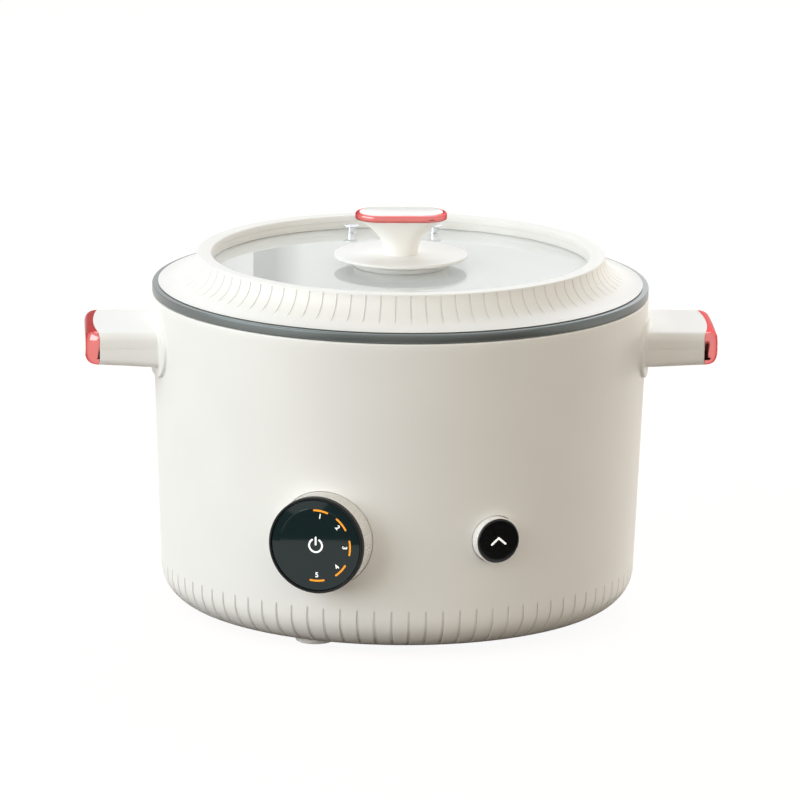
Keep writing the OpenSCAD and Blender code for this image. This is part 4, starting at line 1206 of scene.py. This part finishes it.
@dataclass
class Dial:
    """Rotary dial with a press key in its middle."""

    controls: Controls
    radius: float = 30.0
    bore: float = 25.05
    back: float = -5.9
    bezel_low: float = 13.0
    front: float = 17.5
    bezel_in: float = 28.5
    face_r: float = 28.2
    face_back: float = 14.9
    face_front: float = 17.1
    face_edge: float = 16.75
    flat_r: float = 22.8
    mark_r: float = 22.0
    mark_l: float = 8.6
    mark_w: float = 1.15
    marks_deg: tuple[float, ...] = (8.0, 48.5, 90.0, 132.0, 177.0)
    symbol_r: float = 4.1
    stroke_w: float = 1.1
    ribs: int = 130
    rib_d: float = 0.35
    rib_levels: tuple[Point, ...] = (
        (-2.0, 0.0), (0.0, 0.0), (1.5, 0.3), (2.5, 1.0), (4.0, 1.0), (6.0, 1.0), (8.0, 1.0), (10.0, 1.0),
        (11.5, 1.0), (12.3, 0.5),
    )
    figure_r: float = 18.5
    figure_h: float = 3.0

    def skirt(self) -> Object:
        """Builds the ribbed skirt; each rib level has a height and a share of the ribs' depth.

        Returns:
            The object.
        """
        top = self.bezel_low - 0.02
        rows = plain([(self.bore, self.back), (self.radius - 0.3, self.back), (self.radius, self.back + 0.3)])
        rows += [(self.radius, z, -1.0, 0.0, share * self.rib_d) for z, share in self.rib_levels]
        rows += plain([(self.radius - 0.2, 12.8), (self.radius - 0.6, top), (self.bore, top)])
        pitch = FULL * self.radius / self.ribs
        half = np.full(len(rows), pitch * 0.36)
        return Flutes(self.ribs, 0.0, self.radius, ()).skin("dial_grip", np.array(rows), half)

    def face(self) -> Object:
        """Builds the bevelled face.

        Returns:
            The object.
        """
        line = [(0.0, self.face_back), (self.face_r, self.face_back), (self.face_r, self.face_edge - 0.3)]
        line += [(self.face_r - 0.3, self.face_edge), (self.flat_r + 0.35, self.face_front - 0.06)]
        line += [(self.flat_r - 0.1, self.face_front), (self.flat_r - 3.0, self.face_front)]
        return turned("dial_window", line + [(0.0, self.face_front)], ends=Ends.OPEN, crease=3.0)

    def spot(self, radius: float, angle: float) -> Vector:
        """Gives the point on the face at a radius and an angle clockwise from the top."""
        turn = radians(angle)
        return Vector((radius * sin(turn), radius * cos(turn), self.face_front))

    def stroke(self, path: Sequence[Point], width: float) -> Object:
        """Builds a stroke of a width along a path on the face."""
        low, high = self.face_front - PRINT_SUNK, self.face_front + PRINT_HIGH
        return ribbon("stroke", np.array(path), width, low, high)

    def marks(self) -> Object:
        """Builds the five orange marks.

        Returns:
            The marks as one object.
        """
        parts = []
        half = degrees(self.mark_l / 2.0 / self.mark_r)
        for angle in self.marks_deg:
            turns = np.linspace(angle - half, angle + half, 15)
            parts.append(self.stroke([self.spot(self.mark_r, a).xy for a in turns], self.mark_w))
        return joined("orange_marks", parts)

    def figures(self) -> Object:
        """Builds plain numbers, one inside each mark.

        Returns:
            The numbers as one object.
        """
        parts = []
        for i, angle in enumerate(self.marks_deg):
            lean = -angle if angle <= 90.0 else 180.0 - angle
            spot = Matrix.Translation(self.spot(self.figure_r, angle) * MM)
            move = spot @ Matrix.Rotation(radians(lean), 4, "Z")
            parts.append(place(figure(str(i + 1), self.figure_h), move))
        return joined("dial_figures", parts)

    def symbol(self) -> Object:
        """Builds the power symbol: an open ring and a bar.

        Returns:
            The symbol as one object.
        """
        ring = [self.spot(self.symbol_r, a).xy for a in np.linspace(33.0, 327.0, 60)]
        bar = [(0.0, y) for y in np.linspace(0.6, self.symbol_r + 0.9, 6)]
        return joined("power_sign", [self.stroke(path, self.stroke_w) for path in (ring, bar)])

    def build(self) -> list[Piece]:
        """Builds the dial's pieces and puts them on the housing.

        Returns:
            The skirt, the bezel, the face, the marks, the numbers and the symbol.
        """
        outer = self.radius - 0.02
        bezel = fillet([(self.bezel_in, self.bezel_low, 0.1), (outer, self.bezel_low, 0.3),
                        (outer, self.front, 0.6), (self.bezel_in, self.front, 0.4)], 6)
        made = [
            Piece(self.skirt(), "dial", ("dial_skirt",), SHELL),
            Piece(turned("dial_ring", bezel, 180), "dial", ("dial_bezel",), BEZEL),
            Piece(self.face(), "power_key", ("dial_face",), FACE),
            Piece(self.marks(), "power_key", ("mode_marks",), ORANGE),
            Piece(self.figures(), "power_key", (), WHITE_INK),
            Piece(self.symbol(), "power_key", ("power_symbol",), WHITE_INK),
        ]
        for piece in made:
            place(piece.obj, self.controls.matrix(Side.LEFT))
        return made


@dataclass
class LiftButton:
    """Round push button with a white bezel."""

    controls: Controls
    cap_r: float = 13.5
    cap_round: float = 0.7
    play: float = 0.3
    rim: float = 0.8
    bezel_out: float = 5.6
    cap_out: float = 6.0
    back: float = -4.0
    arrow_w: float = 1.25
    arrow_half: float = 4.5
    arrow_rise: float = 2.4

    def arrow(self) -> Object:
        """Builds an upward arrow of two strokes that meet in a point.

        Returns:
            The object.
        """
        half = self.arrow_half
        point = np.array((0.0, half / self.arrow_rise))
        strokes = []
        for x in (-half, half):
            way = np.array((x, -half / self.arrow_rise)) - point
            line = np.array([point + way * t for t in np.linspace(0.0, 1.0, 5)])
            strokes.append(ribbon("stroke", line, self.arrow_w, self.cap_out - 0.2, self.cap_out + 0.02))
        return joined("lift_arrow", strokes)

    def build(self) -> list[Piece]:
        """Builds the bezel, the cap and its arrow.

        Returns:
            The three pieces.
        """
        inner = self.cap_r + self.play
        outer = inner + self.rim
        ring = fillet([(inner, self.back, 0.0), (outer, self.back, 0.0), (outer, self.bezel_out, 0.4),
                       (inner, self.bezel_out, 0.2)], 4)
        cap = [(0.0, self.back), (self.cap_r, self.back)]
        cap += arc((self.cap_r - self.cap_round, self.cap_out - self.cap_round), self.cap_round, 0.0, 90.0, 5)
        cap += [(self.cap_r - 3.0, self.cap_out - 0.1), (0.0, self.cap_out - 0.15)]
        arrow = self.arrow()
        made = [
            Piece(turned("button_collar", ring, 120), "root", ("button_bezel",), GLOSS),
            Piece(turned("button_key", cap, 120, Ends.OPEN), "lift_key", ("button_cap",), BLACK_GLOSS),
            Piece(arrow, "lift_key", ("button_symbol",), WHITE_INK),
        ]
        for piece in made:
            place(piece.obj, self.controls.matrix(Side.RIGHT))
        return made


@dataclass
class InnerWorks:
    """CAD nodes that keep their own shape and get a finish."""

    nodes: dict
    record: dict
    finishes: tuple[Finish, ...] = (
        BASE, SCREW, SHEET, CAST, CERAMIC, GUIDE, GEAR, BLACK_SILICONE, BLACK, BOARD, BASKET, GLASS,
        GASKET, LID,
    )

    def dress(self) -> None:
        """Gives each kept node the finish of its slot, and lets light through the glass."""
        by_slot = {finish.slot: finish for finish in self.finishes}
        for part in self.record["subparts"]:
            finish = by_slot.get(part["material_slot"])
            if finish is None:
                continue
            mesh = self.nodes[part["node"]].data
            mesh.materials.clear()
            mesh.materials.append(finish.material())
            LOG.info("%s keeps its shape, %s", part["node"], finish.name)
        self.nodes["lid_glass"].visible_shadow = False


@dataclass(frozen=True)
class Lamp:
    """A soft box, with its place and size in metres and its power in watts."""

    name: str
    spot: Spot
    size: Point
    power: float
    colour: str
    target: Spot = (0.0, 0.0, 0.12)
    shown: bool = True

    def build(self) -> None:
        """Adds the soft box, hidden from gloss and glass where it isn't to be shown."""
        data = bpy.data.lights.new(self.name, "AREA")
        data.shape = "RECTANGLE"
        data.size, data.size_y = self.size
        data.energy = self.power
        data.color = linear(self.colour)[:3]
        obj = linked(self.name, data)
        obj.location = self.spot
        obj.visible_glossy = self.shown
        obj.visible_transmission = self.shown
        obj.rotation_mode = "QUATERNION"
        obj.rotation_quaternion = (Vector(self.target) - Vector(self.spot)).to_track_quat("-Z", "Y")


@dataclass
class Studio:
    """Floor, cards, lamps and camera."""

    distance: float = 4977.0
    elevation_deg: float = 12.779
    azimuth_deg: float = -3.0
    roll_deg: float = 0.654
    lens: float = 357.4
    aim: Spot = (0.566, 0.0, 130.14)
    lamps: tuple[Lamp, ...] = (
        Lamp("key_left", (-2.02, -0.82, 0.9), (2.6, 1.8), 38.0, "#E9F6FF"),
        Lamp("top_back", (0.2, 1.6, 1.9), (1.8, 1.8), 20.0, "#E2EFFF"),
        Lamp("back_right", (1.6, 1.5, 0.14), (1.0, 0.26), 18.0, "#FFF8EE", shown=False),
        Lamp("inside", (0.0, 0.0, 0.165), (0.18, 0.18), 0.11, "#FFFFFF", (0.0, 0.0, 1.0), False),
    )
    dark_outline: tuple[Point, ...] = (
        (-420, -271), (-11, -586), (55, -438), (417, -93), (640, -150), (640, -450), (1100, -520),
        (1100, -1075), (-520, -1075), (-520, -760),
    )
    # Radius of the painted contact shadow under the object, which only reflections see.
    shadow_disc_r: float = 156.0
    floor_lift: float = 0.93
    light_low: float = 1.7
    light_high: float = 0.38
    panel_y: float = 3000.0
    grey_level: float = 0.38
    bright_level: float = 1.75
    grey_panel: tuple[Point, Point] = ((8.0, 60.0), (700.0, 1000.0))
    bright_panel: tuple[Point, Point] = ((378.0, 3600.0), (250.0, 2200.0))

    def camera(self) -> None:
        """Makes the camera at the photograph's viewing angle."""
        data = bpy.data.cameras.new("camera")
        data.lens = self.lens
        data.sensor_width = 36.0
        data.clip_end = 100.0
        obj = linked("camera", data)
        turn, rise = radians(self.azimuth_deg), radians(self.elevation_deg)
        back = Vector((sin(turn) * cos(rise), -cos(turn) * cos(rise), sin(rise)))
        obj.location = (Vector(self.aim) + back * self.distance) * MM
        obj.rotation_mode = "QUATERNION"
        roll = Quaternion((0.0, 0.0, 1.0), radians(self.roll_deg))
        obj.rotation_quaternion = (-back).to_track_quat("-Z", "Y") @ roll
        bpy.context.scene.camera = obj

    def seen(self, tree: NodeTree) -> NodeSocket:
        """Tells the rays that see a surface from those that only carry its light.

        Args:
            tree: Node tree that gets the nodes.

        Returns:
            A socket with 1 for camera, glossy and transmission rays and 0 for the rest.
        """
        rays = add_node(tree, "ShaderNodeLightPath").outputs
        result = rays["Is Camera Ray"]
        for name in ("Is Glossy Ray", "Is Transmission Ray"):
            links = {0: result, 1: rays[name]}
            result = add_node(tree, "ShaderNodeMath", {"operation": "MAXIMUM"}, links).outputs[0]
        return result

    def world(self) -> None:
        """Makes the surroundings: white where seen, and as light brighter round the sides than above."""
        world = bpy.data.worlds.new("studio")
        bpy.context.scene.world = world
        tree = bare_tree(world)
        aim = add_node(tree, "ShaderNodeTexCoord").outputs["Generated"]
        height = add_node(tree, "ShaderNodeSeparateXYZ", {}, {"Vector": aim}).outputs["Z"]
        fall = {"From Min": 0.0, "From Max": 0.75, "To Min": self.light_low, "To Max": self.light_high}
        level = add_node(tree, "ShaderNodeMapRange", fall, {"Value": height}).outputs["Result"]
        soft = add_node(tree, "ShaderNodeBackground", {"Color": linear("#FFF7E9")}, {"Strength": level})
        white = add_node(tree, "ShaderNodeBackground", {"Color": linear("#FFFFFF"), "Strength": 1.0})
        links = {"Fac": self.seen(tree), 1: soft.outputs["Background"], 2: white.outputs["Background"]}
        mixed = add_node(tree, "ShaderNodeMixShader", {}, links)
        add_node(tree, "ShaderNodeOutputWorld", {}, {"Surface": mixed.outputs["Shader"]})

    def floor(self) -> None:
        """Lays the pale floor, lifted to white where it is seen, with the shadow kept."""
        obj = turned("floor", [(0.0, 0.0), (500.0, 0.0), (2000.0, 0.0), (9000.0, 0.0)], 96, Ends.OPEN)
        finish = bpy.data.materials.new("matt_paper")
        tree = bare_tree(finish)
        matt = add_node(tree, "ShaderNodeBsdfDiffuse", {"Color": linear("#655A4F")})
        white = {"Color": (self.floor_lift, self.floor_lift, self.floor_lift, 1.0)}
        lift = add_node(tree, "ShaderNodeEmission", white, {"Strength": self.seen(tree)})
        links = {0: matt.outputs["BSDF"], 1: lift.outputs["Emission"]}
        both = add_node(tree, "ShaderNodeAddShader", {}, links)
        add_node(tree, "ShaderNodeOutputMaterial", {}, {"Surface": both.outputs["Shader"]})
        obj.data.materials.append(finish)

    def card(self, name: str, corners: Sequence[Spot], finish: Material, through_glass: bool) -> None:
        """Sets up a flat card that only reflections see.

        Args:
            name: Name of the card.
            corners: Its corners in millimetres.
            finish: Its material.
            through_glass: Whether the far face of the glass mirrors it too.
        """
        mesh = bpy.data.meshes.new(name)
        points = [tuple(c * MM for c in corner) for corner in corners]
        mesh.from_pydata(points, [], [tuple(range(len(points)))])
        mesh.materials.append(finish)
        obj = linked(name, mesh)
        obj.visible_camera = False
        obj.visible_diffuse = False
        obj.visible_shadow = False
        obj.visible_transmission = through_glass

    def panel(self, span: tuple[Point, Point]) -> list[Spot]:
        """Gives the corners of an upright card behind the object from its span along x and z."""
        (left, right), (low, high) = span
        return [(x, self.panel_y, z) for x, z in ((left, low), (right, low), (right, high), (left, high))]

    def even(self, name: str, kind: str, settings: dict) -> Material:
        """Makes a material of one shader, the same all over.

        Args:
            name: Name of the material.
            kind: Blender's name of the shader.
            settings: Values of the shader's inputs.

        Returns:
            The material.
        """
        finish = bpy.data.materials.new(name)
        tree = bare_tree(finish)
        shader = add_node(tree, kind, settings)
        add_node(tree, "ShaderNodeOutputMaterial", {}, {"Surface": shader.outputs[0]})
        return finish

    def grey(self) -> Material:
        """Makes the dull light of the grey band, which goes over into white at its right.

        Returns:
            The material.
        """
        finish = bpy.data.materials.new("grey_cloth")
        tree = bare_tree(finish)
        across = add_node(tree, "ShaderNodeTexCoord").outputs["Generated"]
        part = add_node(tree, "ShaderNodeSeparateXYZ", {}, {"Vector": across}).outputs["X"]
        fade = {"From Min": 0.4, "From Max": 1.0, "To Min": self.grey_level, "To Max": 1.0}
        level = add_node(tree, "ShaderNodeMapRange", fade, {"Value": part}).outputs["Result"]
        glow = add_node(tree, "ShaderNodeEmission", {"Color": linear("#FFFFFF")}, {"Strength": level})
        add_node(tree, "ShaderNodeOutputMaterial", {}, {"Surface": glow.outputs["Emission"]})
        return finish

    def cards(self) -> None:
        """Sets up the cards: dark before the object, a painted contact shadow under it, a grey band and a
        bright panel behind.
        """
        black = self.even("black_card", "ShaderNodeBsdfDiffuse", {"Color": linear("#1A1B1C")})
        light = {"Color": linear("#FFFFFF"), "Strength": self.bright_level}
        turns = np.linspace(0.0, FULL, 72, endpoint=False)
        # The disc under the object is a painted contact shadow: reflections see the floor lifted to white
        # with no shade, so this dark card stands in for it.
        disc = [(self.shadow_disc_r * cos(t), self.shadow_disc_r * sin(t), 1.0) for t in turns]
        self.card("dark_card", [(x, y, 2.0) for x, y in self.dark_outline], black, False)
        self.card("painted_shadow_disc", disc, black, False)
        self.card("grey_panel", self.panel(self.grey_panel), self.grey(), True)
        bright = self.even("lit_cloth", "ShaderNodeEmission", light)
        self.card("bright_panel", self.panel(self.bright_panel), bright, False)

    def build(self) -> None:
        """Sets up the whole studio."""
        self.world()
        self.floor()
        self.cards()
        for lamp in self.lamps:
            lamp.build()
        self.camera()
        bpy.context.scene.view_settings.view_transform = "Standard"


def main() -> None:
    """Builds the object and the studio."""
    logging.basicConfig(level=logging.INFO, format="%(name)s: %(message)s")
    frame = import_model()
    controls, inlet = Controls(), PowerInlet()
    housing = Housing(controls, inlet)
    assemblies = [
        housing, Feet(), Handle(Side.LEFT, housing), Handle(Side.RIGHT, housing), inlet, Pot(), Lid(), Knob(),
        Dial(controls), LiftButton(controls),
    ]
    for assembly in assemblies:
        for piece in assembly.build():
            piece.fit()
    InnerWorks(frame["nodes"], frame["record"]).dress()
    Studio().build()


if __name__ == "__main__":
    main()
